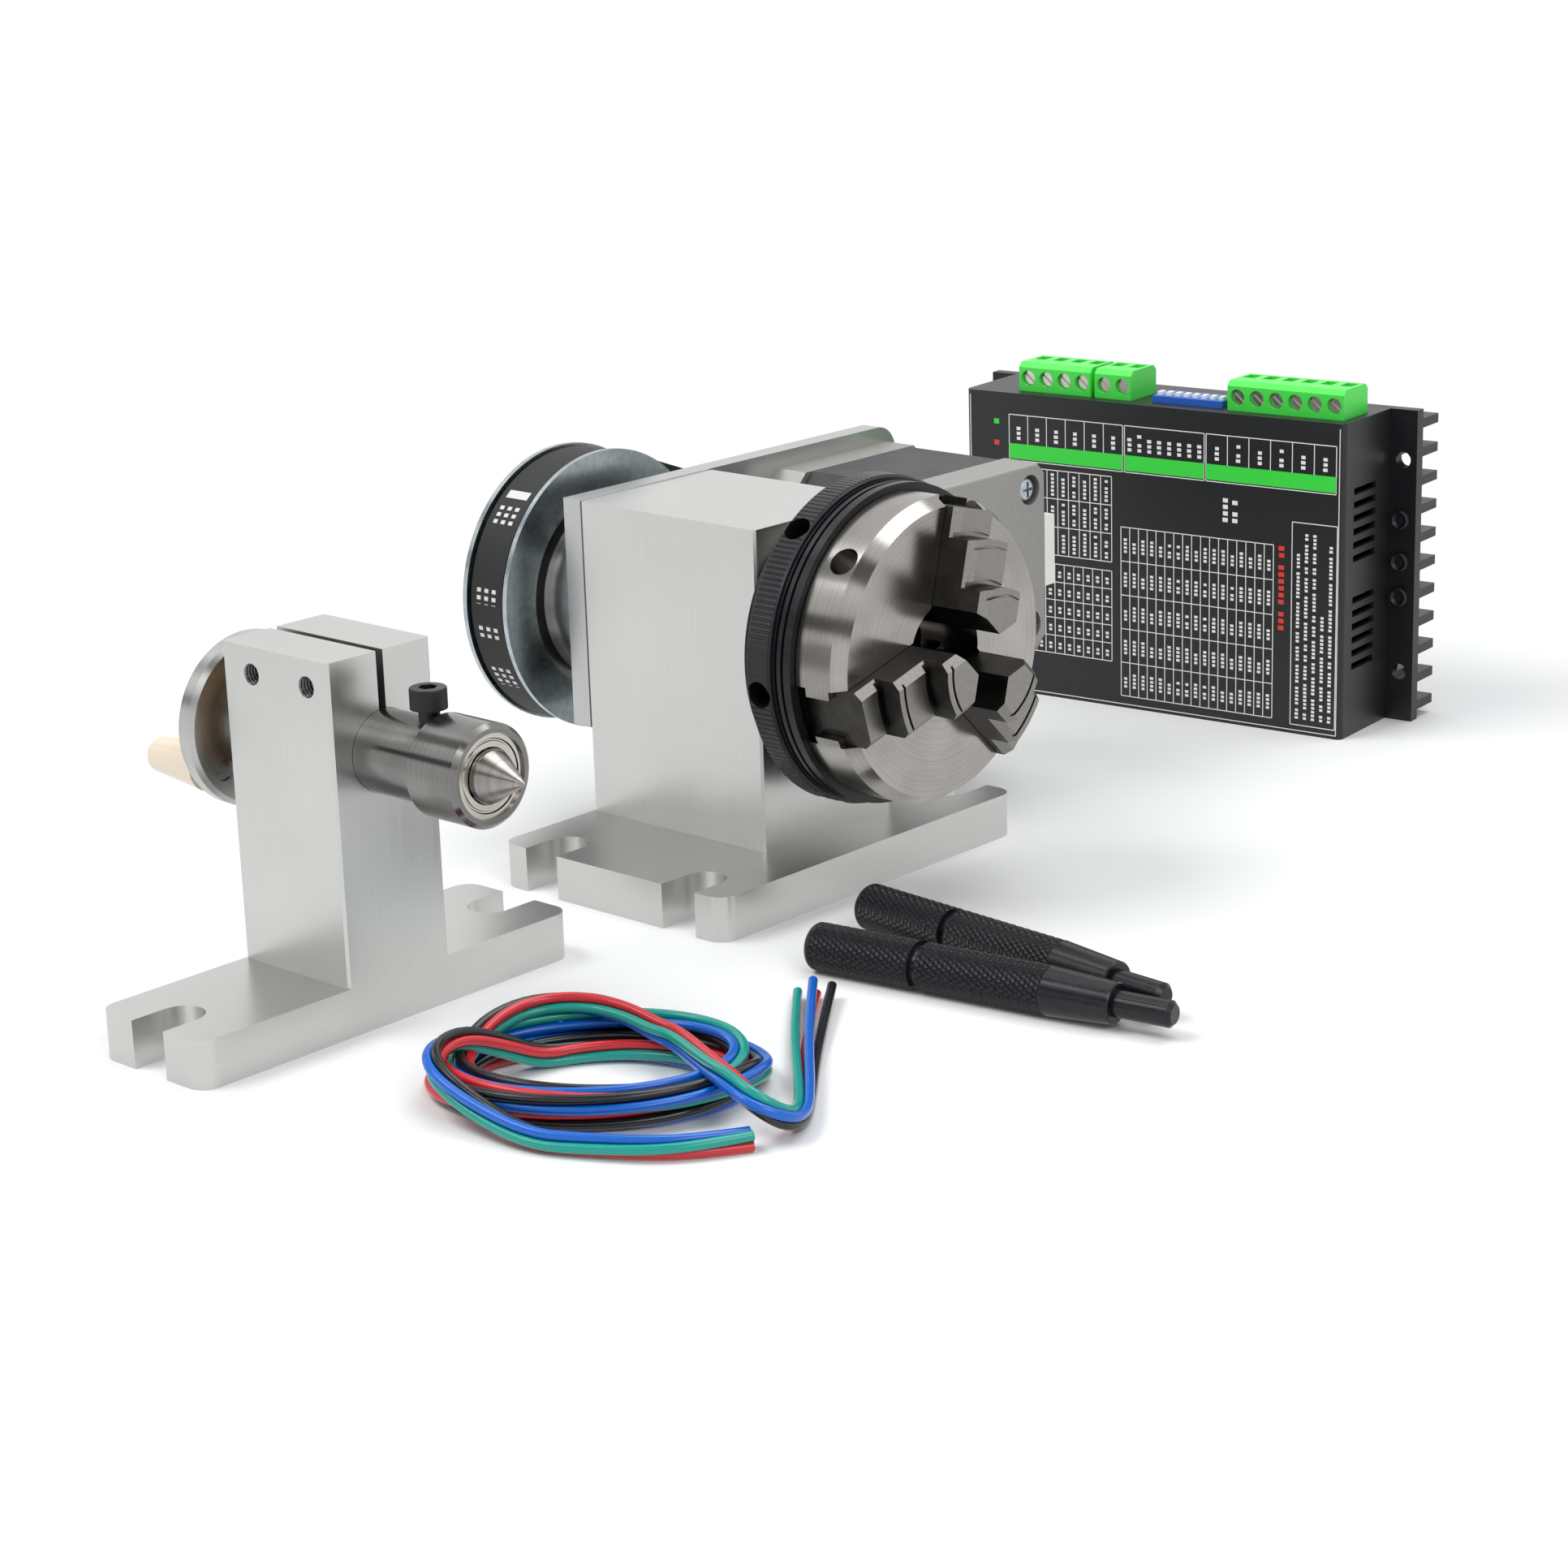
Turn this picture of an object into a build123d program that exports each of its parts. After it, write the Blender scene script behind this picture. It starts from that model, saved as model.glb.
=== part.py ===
# CNC rotary axis set: belt driven headstock with a three-jaw scroll chuck,
# tailstock with a live centre, two tommy bars, motor lead and stepper driver.
# Millimetres. +X runs along the spindle out of the chuck, +Z is up, the origin
# is on the floor under the middle of the headstock base, below the spindle.
from build123d import *
from math import acos, cos, pi, radians, sin, tan
import os

os.makedirs("parts", exist_ok=True)

# Running gap between sliding or turning pieces
run_gap = 0.05
guide_gap = 0.1

# Bases
base_t = 9.5
base_y_shift = -1.4
head_base_len = 64.0
head_base_w = 93.0
slot_w = 9.2
slot_depth = 12.3
head_slot_pitch = 39.5
base_corner_r = 4.0

# Headstock block and spindle height
spindle_z = 53.0
block_len = 50.0
block_w = 40.0
block_top = 77.6
block_rear = -head_base_len / 2
block_front = block_rear + block_len
block_edge = 0.5

# Screws that pull each block down on its base, from below
foot_screw_len = 15.0
foot_screw_sink = 5.4
foot_screw_inset = 9.0
foot_screw_y = 12.0
foot_thread_len = 12.0

# Spindle and its bearings
spindle_r = 10.0
spindle_bore_r = 7.0
bearing_od_r = 16.0
bearing_w = 7.0
bearing_ball_r = 1.9
bearing_balls = 9
ring_wall = 1.9
block_bore_r = 13.5
spindle_flange_r = 24.0
spindle_flange_t = 5.6
flange_gap = 0.8

# Chuck
chuck_r = 31.5
chuck_front_t = 12.0
chuck_chamfer = 3.0
chuck_bore_r = 10.5
hub_r = 15.0
back_plate_t = 3.0
back_plate_r = 31.0
scroll_len = 11.0
knurl_r = 34.0
knurl_len = 6.1
scroll_front_r = 33.0
scroll_groove_depth = 2.2
scroll_pitch = 2.5
scroll_start_r = 16.3
scroll_groove_w = 1.5
scroll_half_turns = 12
tommy_hole_r = 3.1
tommy_hole_depth = 6.5
tommy_hole_back = 6.6
ring_hole_r = 2.8
ring_hole_count = 6
ring_hole_angle = 8.0
chuck_screw_pcr = 11.0
chuck_screw_d = 3.0
chuck_screw_len = 14.0
chuck_head_d = 5.5
chuck_head_h = 3.0
chuck_screw_sink = 3.2
chuck_thread_len = 9.0
ring_groove_w = 0.7
ring_groove_starts = [0.6, 2.3]
ring_groove_depth = 0.6
chuck_gap = 0.2

# Jaws
jaw_angle = 75.3
jaw_w = 12.5
jaw_neck_w = 8.8
jaw_tip_r = 5.6
jaw_outer_r = 29.3
jaw_step_edges = [jaw_outer_r, 23.9, 14.9]
jaw_step_rise = [3.4, 8.3, 13.2]
jaw_chamfer = 1.6
jaw_lip_front = 3.6
jaw_lip_back = 9.6
tooth_t = 0.8
tooth_w = 7.0
tooth_reach = 1.8
jaw_teeth = 2
jaw_first_turn = 2
relief_w = 1.0
relief_depth = 1.1
arc_groove_w = 0.6
arc_groove_in = 1.3

# Drive
plate_t = 5.0
plate_low = 28.1
plate_top = 77.8
plate_y_far = 82.3
plate_corner_r = 6.0
plate_screw_margin = 5.0
plate_screw_len = 10.0
plate_head_d = 7.0
plate_head_h = 3.0
plate_screw_sink = 3.2
plate_thread_len = 11.0
motor_y = 60.4
belt_w = 9.5
belt_t = 1.6
belt_gap = 0.3
big_teeth = 60
small_teeth = 15
tooth_pitch = 3.0
pitch_line_drop = 0.4
big_pulley_r = big_teeth * tooth_pitch / (2 * pi) - pitch_line_drop
small_pulley_r = small_teeth * tooth_pitch / (2 * pi) - pitch_line_drop
groove_r = 0.9
big_flange_r = 30.7
small_flange_r = 9.6
flange_t = 1.2
flange_space = 11.2
pulley_rear_flange_x = -57.4
pulley_boss_r = 18.0
pulley_side_gap = 0.6
web_r = pulley_boss_r + 4.0
recess_r = 26.0
recess_depth = 3.0
recess_floor_r = pulley_boss_r + 1.5
small_boss_r = small_flange_r - 1.6
small_side_gap = 0.8
set_screw_sink = 0.8
locknut_r = 15.0
locknut_t = 5.0
notch_w = 4.0
notch_depth = 2.0

# Motor
motor_w = 42.3
motor_len = 44.7
motor_corner = 4.6
cover_corner = 2.6
motor_front_t = 8.5
motor_rear_t = 9.5
motor_pilot_r = 11.0
motor_pilot_t = 2.0
motor_screw_pitch = 31.0
motor_shaft_r = 2.5
motor_rotor_r = 13.0
motor_bore_r = 13.5
motor_bearing_r = 8.0
motor_bearing_w = 5.0
case_screw_sink = 2.6
case_seat_r = 3.4
case_head_d = 5.6
case_head_h = 2.0
connector_w = 16.0
connector_out = 5.0
connector_wall = 1.0
m3 = 3.0
m4 = 4.0
m5 = 5.0

# Tailstock
tail_y = -115.6
tail_len = 30.0
tail_front = 12.2
tail_w = 25.0
tail_top = 72.1
tail_base_w = 93.0
quill_r = 8.0
quill_out = 15.8
quill_in = 14.6
slit_w = 1.7
center_head_r = 9.8
center_head_len = 13.1
center_shaft_r = 4.0
center_bearing_w = 5.0
center_bearing_r = 8.0
center_ball_r = 1.2
center_balls = 9
center_ring_wall = 1.0
cone_r = 4.9
cone_collar = 1.0
clamp_hole_r = 2.1
clamp_hole_z = 66.8
clamp_hole_x = [-9.6, 6.0]
clamp_screw_len = 14.0
clamp_seat_r = 3.9
clamp_seat_depth = 4.2
small_head_d = 7.0
small_head_h = 4.0
tail_foot_screw_y = 7.5
lock_screw_x = 25.1
leadscrew_r = 4.0
bush_r = 8.0
quill_wall = 6.0
lock_screw_len = 5.4
lock_screw_depth = 3.6
lock_screw_lift = 2.2
bush_t = 6.0
bush_flange_r = 10.5
bush_flange_t = 2.0
wheel_r = 17.1
wheel_t = 4.5
wheel_gap = 3.6
wheel_bore_r = 3.0
handle_y = -9.8
handle_z = -7.8
handle_len = 16.0
handle_r = 4.8
handle_tip_r = 3.4

# Tommy bars
bar_len = 79.0
bar_r = 4.8
bar_neck_r = 3.9
bar_pin_r = 2.6
bar_pin_len = 12.0
bar_taper_len = 14.0
bar_taper_r = 4.0
bar_grip_len = 24.0
bar_neck_len = 1.6
bar_places = [(55.4, -46.9, 8.2), (48.1, -22.4, -4.9)]

# Driver, standing on its long edge
driver_x = -61.7
driver_y = 135.4
driver_turn = 6.1
driver_len = 118.0
driver_h = 75.5
driver_depth = 34.0
cover_len = 104.0
cover_depth = 23.0
cover_wall = 1.2
fin_count = 11
fin_t = 2.2
sink_web_t = 3.0
mount_hole_r = 1.9
mount_hole_in = 3.5
mount_hole_z = 12.0
terminal_pitch = 5.08
terminal_h = 10.0
terminal_depth = 12.0
terminal_sink = 3.0
terminal_b = 4.0
terminal_gap = 0.2
terminal_eye_r = 1.9
signal_a = 13.0
pair_a = 34.5
power_a = 71.0
dip_a = 50.0
dip_len = 19.0
dip_depth = 8.0
dip_levers = 8
board_t = 1.6
vent_count = 6
vent_pitch = 3.2
vent_w = 1.6
vent_starts = [16.0, 42.0]
vent_b = [5.0, 16.0]

# Motor lead
lead_z = 2.1
lead_r = 2.0
coil_x = 67.5
coil_y = -118.0
coil_long = 32.5
coil_short = 25.0
coil_turn = 37.0
coil_w = 12.0
coil_h = 8.5
tail_a_points = [
    (98.13, -120.01),
    (101.9, -111.5),
    (100.6, -103.0),
    (92.0, -90.9),
    (79.0, -75.6),
    (66.5, -59.4),
]
tail_b_points = [
    (74.66, -144.9),
    (87.0, -141.6),
    (97.0, -136.2),
    (103.9, -129.2),
    (107.9, -122.1),
]


def rod(x0, x1, r, y=0.0, z=0.0):
    """Round bar along X between x0 and x1."""
    return Pos((x0 + x1) / 2, y, z) * Rot(0, 90, 0) * Cylinder(r, x1 - x0)


def tube(x0, x1, r, bore, y=0.0, z=0.0):
    """Round bar along X with a bore through it."""
    return rod(x0, x1, r, y, z) - rod(x0 - 1, x1 + 1, bore, y, z)


def block(x0, x1, y0, y1, z0, z1):
    """Box between two corners."""
    centre = ((x0 + x1) / 2, (y0 + y1) / 2, (z0 + z1) / 2)
    return Pos(*centre) * Box(x1 - x0, y1 - y0, z1 - z0)


def post(x, y, z0, z1, r):
    """Round bar along Z between z0 and z1."""
    return Pos(x, y, (z0 + z1) / 2) * Cylinder(r, z1 - z0)


def around(shape, angle, z=0.0):
    """Shape turned about the X axis that lies at height z."""
    return Pos(0, 0, z) * Rot(angle, 0, 0) * shape


def cap_screw(d, length, head_d=None, head_h=None):
    """Socket head screw along Z: head above z = 0, shank below it."""
    head_d = head_d or 1.75 * d
    head_h = head_h or d
    shank = Pos(0, 0, -length / 2) * Cylinder(d / 2, length)
    head = Pos(0, 0, head_h / 2) * Cylinder(head_d / 2, head_h)
    head = fillet(head.edges().group_by(Axis.Z)[-1], 0.08 * d)
    socket = extrude(RegularPolygon(0.46 * d, 6), head_h * 0.55)
    return shank + head - Pos(0, 0, head_h * 0.45) * socket


def aim(shape, place, direction):
    """Shape built along Z, set at a place with its +Z along a direction."""
    return Plane(origin=place, z_dir=direction).location * shape


def cross_screw(d, length, head_d, head_h):
    """Pan head screw along Z with a cross recess in the head."""
    shank = Pos(0, 0, -length / 2) * Cylinder(d / 2, length)
    head = Pos(0, 0, head_h / 2) * Cylinder(head_d / 2, head_h)
    head = fillet(head.edges().group_by(Axis.Z)[-1], head_h * 0.6)
    arm = Box(head_d * 0.62, d * 0.22, head_h)
    cross = Pos(0, 0, head_h) * (arm + Rot(0, 0, 90) * arm)
    return shank + head - cross


def grub(d, length):
    """Set screw along Z, flat ended, with a hexagon socket on top."""
    socket = extrude(RegularPolygon(0.28 * d, 6), length)
    return Pos(0, 0, -length / 2) * Cylinder(d / 2, length) - Pos(0, 0, -length * 0.45) * socket


def save(name, *shapes):
    """One STEP file for one node, as one solid or a group of separate solids."""
    solids = []
    for shape in shapes:
        solids.extend(shape.solids())
    whole = solids[0] if len(solids) == 1 else Compound(children=solids)
    export_step(whole, f"parts/{name}.step")


def square_places(pitch, y, z):
    """Four corners of a square pattern in the YZ plane."""
    half = pitch / 2
    return [(y + a * half, z + b * half) for a in (-1, 1) for b in (-1, 1)]


def base_plate(x0, x1, y_mid, width, slot_xs):
    """Foot plate with an open U slot at both ends for each slot place."""
    body = block(x0, x1, y_mid - width / 2, y_mid + width / 2, 0, base_t)
    body = fillet(body.edges().filter_by(Axis.Z), base_corner_r)
    for x in slot_xs:
        for side in (-1, 1):
            edge = y_mid + side * width / 2
            inner = edge - side * (slot_depth - slot_w / 2)
            body -= post(x, inner, -1, base_t + 1, slot_w / 2)
            low = min(inner, edge + side)
            high = max(inner, edge + side)
            body -= block(x - slot_w / 2, x + slot_w / 2, low, high, -1, base_t + 1)
    return body


def bearing(x0, width, bore, outer, wall, ball_r, count, y, z):
    """Deep groove bearing along X: outer ring, inner ring and balls."""
    mid = x0 + width / 2
    pitch_r = (bore + outer) / 2
    groove = Pos(mid, y, z) * Rot(0, 90, 0) * Torus(pitch_r, ball_r + run_gap / 2)
    outside = tube(x0, x0 + width, outer, outer - wall, y, z) - groove
    inside = tube(x0, x0 + width, bore + wall, bore, y, z) - groove
    balls = []
    for i in range(count):
        a = 2 * pi * i / count
        balls.append(Pos(mid, y + pitch_r * cos(a), z + pitch_r * sin(a)) * Sphere(ball_r))
    return outside, inside, balls


# Headstock frame

def headstock():
    slots = [-head_slot_pitch / 2, head_slot_pitch / 2]
    base = base_plate(-head_base_len / 2, head_base_len / 2, base_y_shift, head_base_w, slots)
    body = block(block_rear, block_front, -block_w / 2, block_w / 2, base_t, block_top)
    body = chamfer(body.edges().filter_by(Axis.Z), block_edge)
    body -= rod(block_rear - 1, block_front + 1, block_bore_r, 0, spindle_z)
    body -= rod(block_rear - 1, block_rear + bearing_w, bearing_od_r, 0, spindle_z)
    body -= rod(block_front - bearing_w, block_front + 1, bearing_od_r, 0, spindle_z)
    screws = []
    for x in (block_rear + foot_screw_inset, block_front - foot_screw_inset):
        for y in (-foot_screw_y, foot_screw_y):
            base -= post(x, y, -1, base_t + 1, m5 / 2 + 0.25)
            base -= post(x, y, -1, foot_screw_sink, m5 * 0.95)
            body -= post(x, y, base_t - 1, base_t + foot_thread_len, m5 / 2)
            screw = cap_screw(m5, foot_screw_len)
            screws.append(aim(screw, (x, y, foot_screw_sink), (0, 0, -1)))
    plate_back = block_rear - plate_t
    plate = block(plate_back, block_rear, -block_w / 2, plate_y_far, plate_low, plate_top)
    corners = plate.edges().filter_by(Axis.X).group_by(Axis.Y)[-1]
    plate = fillet(corners, plate_corner_r)
    plate -= rod(plate_back - 1, block_rear + 1, block_bore_r, 0, spindle_z)
    plate -= rod(plate_back - 1, block_rear + 1, motor_pilot_r + run_gap, motor_y, spindle_z)
    plate_screws = []
    for y, z in square_places(block_w - 2 * plate_screw_margin, 0, spindle_z):
        hole_z = max(z, plate_low + plate_screw_margin)
        seat_x = plate_back + plate_screw_sink
        plate -= rod(plate_back - 1, block_rear + 1, m4 / 2 + 0.2, y, hole_z)
        plate -= rod(plate_back - 1, seat_x, m4, y, hole_z)
        body -= rod(block_rear - 1, block_rear + plate_thread_len, m4 / 2, y, hole_z)
        screw = cap_screw(m4, plate_screw_len, plate_head_d, plate_head_h)
        plate_screws.append(aim(screw, (seat_x, y, hole_z), (-1, 0, 0)))
    mount_screws = []
    for y, z in square_places(motor_screw_pitch, motor_y, spindle_z):
        plate -= rod(plate_back - 1, block_rear + 1, m3 / 2 + 0.15, y, z)
        screw = cap_screw(m3, plate_t + 4.0)
        mount_screws.append(aim(screw, (plate_back, y, z), (-1, 0, 0)))
    save("headstock_base", base)
    save("headstock_block", body)
    save("headstock_base_screws", *screws)
    save("motor_plate", plate)
    save("plate_screws", *plate_screws)
    save("motor_mount_screws", *mount_screws)


# Spindle, its bearings and its pulley

def spindle():
    rear_x = pulley_rear_flange_x - flange_t - locknut_t
    flange_x = block_front + flange_gap
    back_x = flange_x + spindle_flange_t
    shaft = rod(rear_x, flange_x, spindle_r, 0, spindle_z)
    shoulder = rod(block_front, flange_x, spindle_r + ring_wall, 0, spindle_z)
    flange = rod(flange_x, back_x, spindle_flange_r, 0, spindle_z)
    shaft = shaft + shoulder + flange
    shaft -= rod(rear_x - 1, back_x + 1, spindle_bore_r, 0, spindle_z)
    outers = []
    inners = []
    balls = []
    for x0 in (block_rear, block_front - bearing_w):
        o, i, b = bearing(x0, bearing_w, spindle_r, bearing_od_r, ring_wall,
                          bearing_ball_r, bearing_balls, 0, spindle_z)
        outers.append(o)
        inners.append(i)
        balls.extend(b)
    screws = []
    hub_x = back_x + back_plate_t
    for k in range(3):
        a = radians(jaw_angle + 60 + 120 * k)
        y = chuck_screw_pcr * cos(a)
        z = spindle_z + chuck_screw_pcr * sin(a)
        shaft -= rod(flange_x - 1, back_x + 1, chuck_screw_d / 2 + 0.2, y, z)
        seat_x = flange_x + chuck_screw_sink
        shaft -= rod(flange_x, seat_x, chuck_screw_d, y, z)
        screw = cap_screw(chuck_screw_d, chuck_screw_len, chuck_head_d, chuck_head_h)
        screws.append(aim(screw, (seat_x, y, z), (-1, 0, 0)))
    save("spindle_bearing_outer_rings", *outers)
    save("spindle_bearing_inner_rings", *inners)
    save("spindle_bearing_balls", *balls)
    save("chuck_screws", *screws)

    front_x = pulley_rear_flange_x + flange_space
    boss_x = block_rear - plate_t - pulley_side_gap
    wheel = rod(pulley_rear_flange_x, front_x, big_pulley_r, 0, spindle_z)
    wheel += rod(front_x, front_x + flange_t, web_r, 0, spindle_z)
    wheel += rod(pulley_rear_flange_x - flange_t, pulley_rear_flange_x, web_r, 0, spindle_z)
    wheel += rod(front_x, boss_x, pulley_boss_r, 0, spindle_z)
    grooves = []
    for i in range(big_teeth):
        a = 2 * pi * i / big_teeth
        y = big_pulley_r * cos(a)
        z = spindle_z + big_pulley_r * sin(a)
        grooves.append(rod(pulley_rear_flange_x, front_x, groove_r, y, z))
    wheel = wheel - grooves
    wheel -= rod(rear_x - 5, boss_x + 5, spindle_r, 0, spindle_z)
    recess_x = front_x - recess_depth
    wheel -= tube(recess_x, front_x + flange_t + 1, recess_r, recess_floor_r, 0, spindle_z)
    set_screws = []
    mid_boss = (front_x + flange_t + boss_x) / 2
    for a in (0, 120):
        direction = (0, cos(radians(a)), sin(radians(a)))
        place = (mid_boss, pulley_boss_r * direction[1], spindle_z + pulley_boss_r * direction[2])
        depth = pulley_boss_r - spindle_r
        wheel -= aim(Pos(0, 0, -depth / 2) * Cylinder(m4 / 2, depth + 0.4), place, direction)
        screw = Pos(0, 0, -set_screw_sink) * grub(m4, depth - set_screw_sink)
        set_screws.append(aim(screw, place, direction))
    flanges = []
    for x0 in (pulley_rear_flange_x - flange_t, front_x):
        flanges.append(tube(x0, x0 + flange_t, big_flange_r, web_r, 0, spindle_z))
    nut = tube(rear_x, pulley_rear_flange_x - flange_t, locknut_r, spindle_r, 0, spindle_z)
    low = locknut_r - notch_depth
    notch = block(rear_x - 1, rear_x + locknut_t + 1, -notch_w / 2, notch_w / 2, low, locknut_r + 1)
    for a in range(0, 360, 90):
        nut -= around(notch, a, spindle_z)
    save("spindle", shaft)
    save("spindle_pulley", wheel)
    save("pulley_flanges", *flanges)
    save("pulley_set_screws", *set_screws)
    save("spindle_locknut", nut)
    return back_x, hub_x


# Belt and motor

def pulley_hull(r_big, r_small, x0, x1):
    """Solid inside the tight outline of two circles, big one on the spindle."""
    phi = acos((r_big - r_small) / motor_y)
    outline = []
    for r, y, s in ((r_big, 0, 1), (r_small, motor_y, 1), (r_small, motor_y, -1), (r_big, 0, -1)):
        outline.append((y + r * cos(phi), spindle_z + s * r * sin(phi)))
    middle = extrude(Plane.YZ * Polygon(*outline, align=None), x1 - x0, dir=(1, 0, 0))
    ends = rod(x0, x1, r_big, 0, spindle_z) + rod(x0, x1, r_small, motor_y, spindle_z)
    return ends + Pos(x0, 0, 0) * middle


def belt_and_small_pulley():
    front_x = pulley_rear_flange_x + flange_space
    gap = (flange_space - belt_w) / 2
    x0 = pulley_rear_flange_x + gap
    x1 = front_x - gap
    big_r = big_pulley_r + belt_gap
    small_r = small_pulley_r + belt_gap
    belt = pulley_hull(big_r + belt_t, small_r + belt_t, x0, x1)
    belt -= pulley_hull(big_r, small_r, x0 - 1, x1 + 1)
    save("timing_belt", belt)

    wheel = rod(pulley_rear_flange_x, front_x, small_pulley_r, motor_y, spindle_z)
    for i in range(small_teeth):
        a = 2 * pi * i / small_teeth
        y = motor_y + small_pulley_r * cos(a)
        z = spindle_z + small_pulley_r * sin(a)
        wheel -= rod(pulley_rear_flange_x - 1, front_x + 1, groove_r, y, z)
    for edge in (pulley_rear_flange_x - flange_t, front_x):
        wheel += rod(edge, edge + flange_t, small_flange_r, motor_y, spindle_z)
    boss_end = block_rear - plate_t - small_side_gap
    wheel += rod(front_x + flange_t, boss_end, small_boss_r, motor_y, spindle_z)
    wheel -= rod(pulley_rear_flange_x - 5, boss_end + 1, motor_shaft_r, motor_y, spindle_z)
    screws = []
    mid = (front_x + flange_t + boss_end) / 2
    depth = small_boss_r - motor_shaft_r
    for a in (0, 90):
        direction = (0, cos(radians(a)), sin(radians(a)))
        place = (mid, motor_y + small_boss_r * direction[1], spindle_z + small_boss_r * direction[2])
        wheel -= aim(Pos(0, 0, -depth / 2) * Cylinder(m3 / 2, depth + 0.4), place, direction)
        screw = Pos(0, 0, -set_screw_sink) * grub(m3, depth - set_screw_sink)
        screws.append(aim(screw, place, direction))
    save("motor_pulley", wheel)
    save("motor_pulley_set_screws", *screws)


def motor():
    rear = block_rear + motor_len
    half = motor_w / 2
    low_y, high_y = motor_y - half, motor_y + half
    low_z, high_z = spindle_z - half, spindle_z + half
    stack0 = block_rear + motor_front_t
    stack1 = rear - motor_rear_t

    def slab(x0, x1, corner):
        body = block(x0, x1, low_y, high_y, low_z, high_z)
        return chamfer(body.edges().filter_by(Axis.X), corner)

    front = slab(block_rear, stack0, cover_corner)
    front += rod(block_rear - motor_pilot_t, block_rear, motor_pilot_r, motor_y, spindle_z)
    stator = slab(stack0, stack1, motor_corner)
    back = slab(stack1, rear, cover_corner)
    back = fillet(back.edges().group_by(Axis.X)[-1], 0.8)
    shaft_end = pulley_rear_flange_x - flange_t
    inner_end = rear - 2.5
    front -= rod(stack0 - motor_bearing_w, stack0 + 1, motor_bearing_r, motor_y, spindle_z)
    front -= rod(block_rear - 5, stack0 + 1, motor_shaft_r + 1.2, motor_y, spindle_z)
    back -= rod(stack1 - 1, stack1 + motor_bearing_w, motor_bearing_r, motor_y, spindle_z)
    back -= rod(stack1 - 1, inner_end + 0.5, motor_shaft_r + 1.2, motor_y, spindle_z)
    stator -= rod(stack0 - 1, stack1 + 1, motor_bore_r, motor_y, spindle_z)
    case_screws = []
    for y, z in square_places(motor_screw_pitch, motor_y, spindle_z):
        front -= rod(block_rear - 1, block_rear + 4.2, m3 / 2, y, z)
        front -= rod(block_rear + 4.6, stack0 + 1, m3 / 2, y, z)
        stator -= rod(stack0 - 1, stack1 + 1, m3 / 2 + 0.1, y, z)
        back -= rod(stack1 - 1, rear + 1, m3 / 2 + 0.1, y, z)
        seat = rear - case_screw_sink
        back -= rod(seat, rear + 1, case_seat_r, y, z)
        screw = cross_screw(m3, seat - stack0 + m3, case_head_d, case_head_h)
        case_screws.append(aim(screw, (seat, y, z), (1, 0, 0)))
    shaft = rod(shaft_end, inner_end, motor_shaft_r, motor_y, spindle_z)
    rotor = tube(stack0 + 1.2, stack1 - 1.2, motor_rotor_r, motor_shaft_r, motor_y, spindle_z)
    bearings = []
    for x0 in (stack0 - motor_bearing_w, stack1):
        ring = tube(x0, x0 + motor_bearing_w, motor_bearing_r, motor_shaft_r + run_gap, motor_y, spindle_z)
        bearings.append(ring)
    x0, x1 = stack1 + 1.0, rear - 1.5
    wide = connector_w / 2
    thin = wide - connector_wall
    socket = block(x0, x1, high_y, high_y + connector_out, spindle_z - wide, spindle_z + wide)
    socket -= block(x0 + connector_wall, x1 - connector_wall, high_y + connector_wall,
                    high_y + connector_out + 1, spindle_z - thin, spindle_z + thin)
    save("motor_front_cover", front)
    save("motor_stator", stator)
    save("motor_rear_cover", back)
    save("motor_case_screws", *case_screws)
    save("motor_shaft", shaft)
    save("motor_rotor", rotor)
    save("motor_bearings", *bearings)
    save("motor_connector", socket)


# Chuck

def spiral_groove(x_face):
    """Scroll groove of half rings whose centres swap sides every half turn."""
    cuts = []
    for j in range(scroll_half_turns):
        side = -1 if j % 2 == 0 else 1
        mid_r = scroll_start_r + scroll_pitch / 4 + j * scroll_pitch / 2
        outer = mid_r + scroll_groove_w / 2
        inner = mid_r - scroll_groove_w / 2
        centre = side * scroll_pitch / 4
        ring = tube(x_face - scroll_groove_depth, x_face + 1, outer, inner, centre, 0)
        low_z, high_z = (0, 60) if side < 0 else (-60, 0)
        cuts.append(ring & block(x_face - 5, x_face + 5, -60, 60, low_z, high_z))
    return cuts


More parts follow.
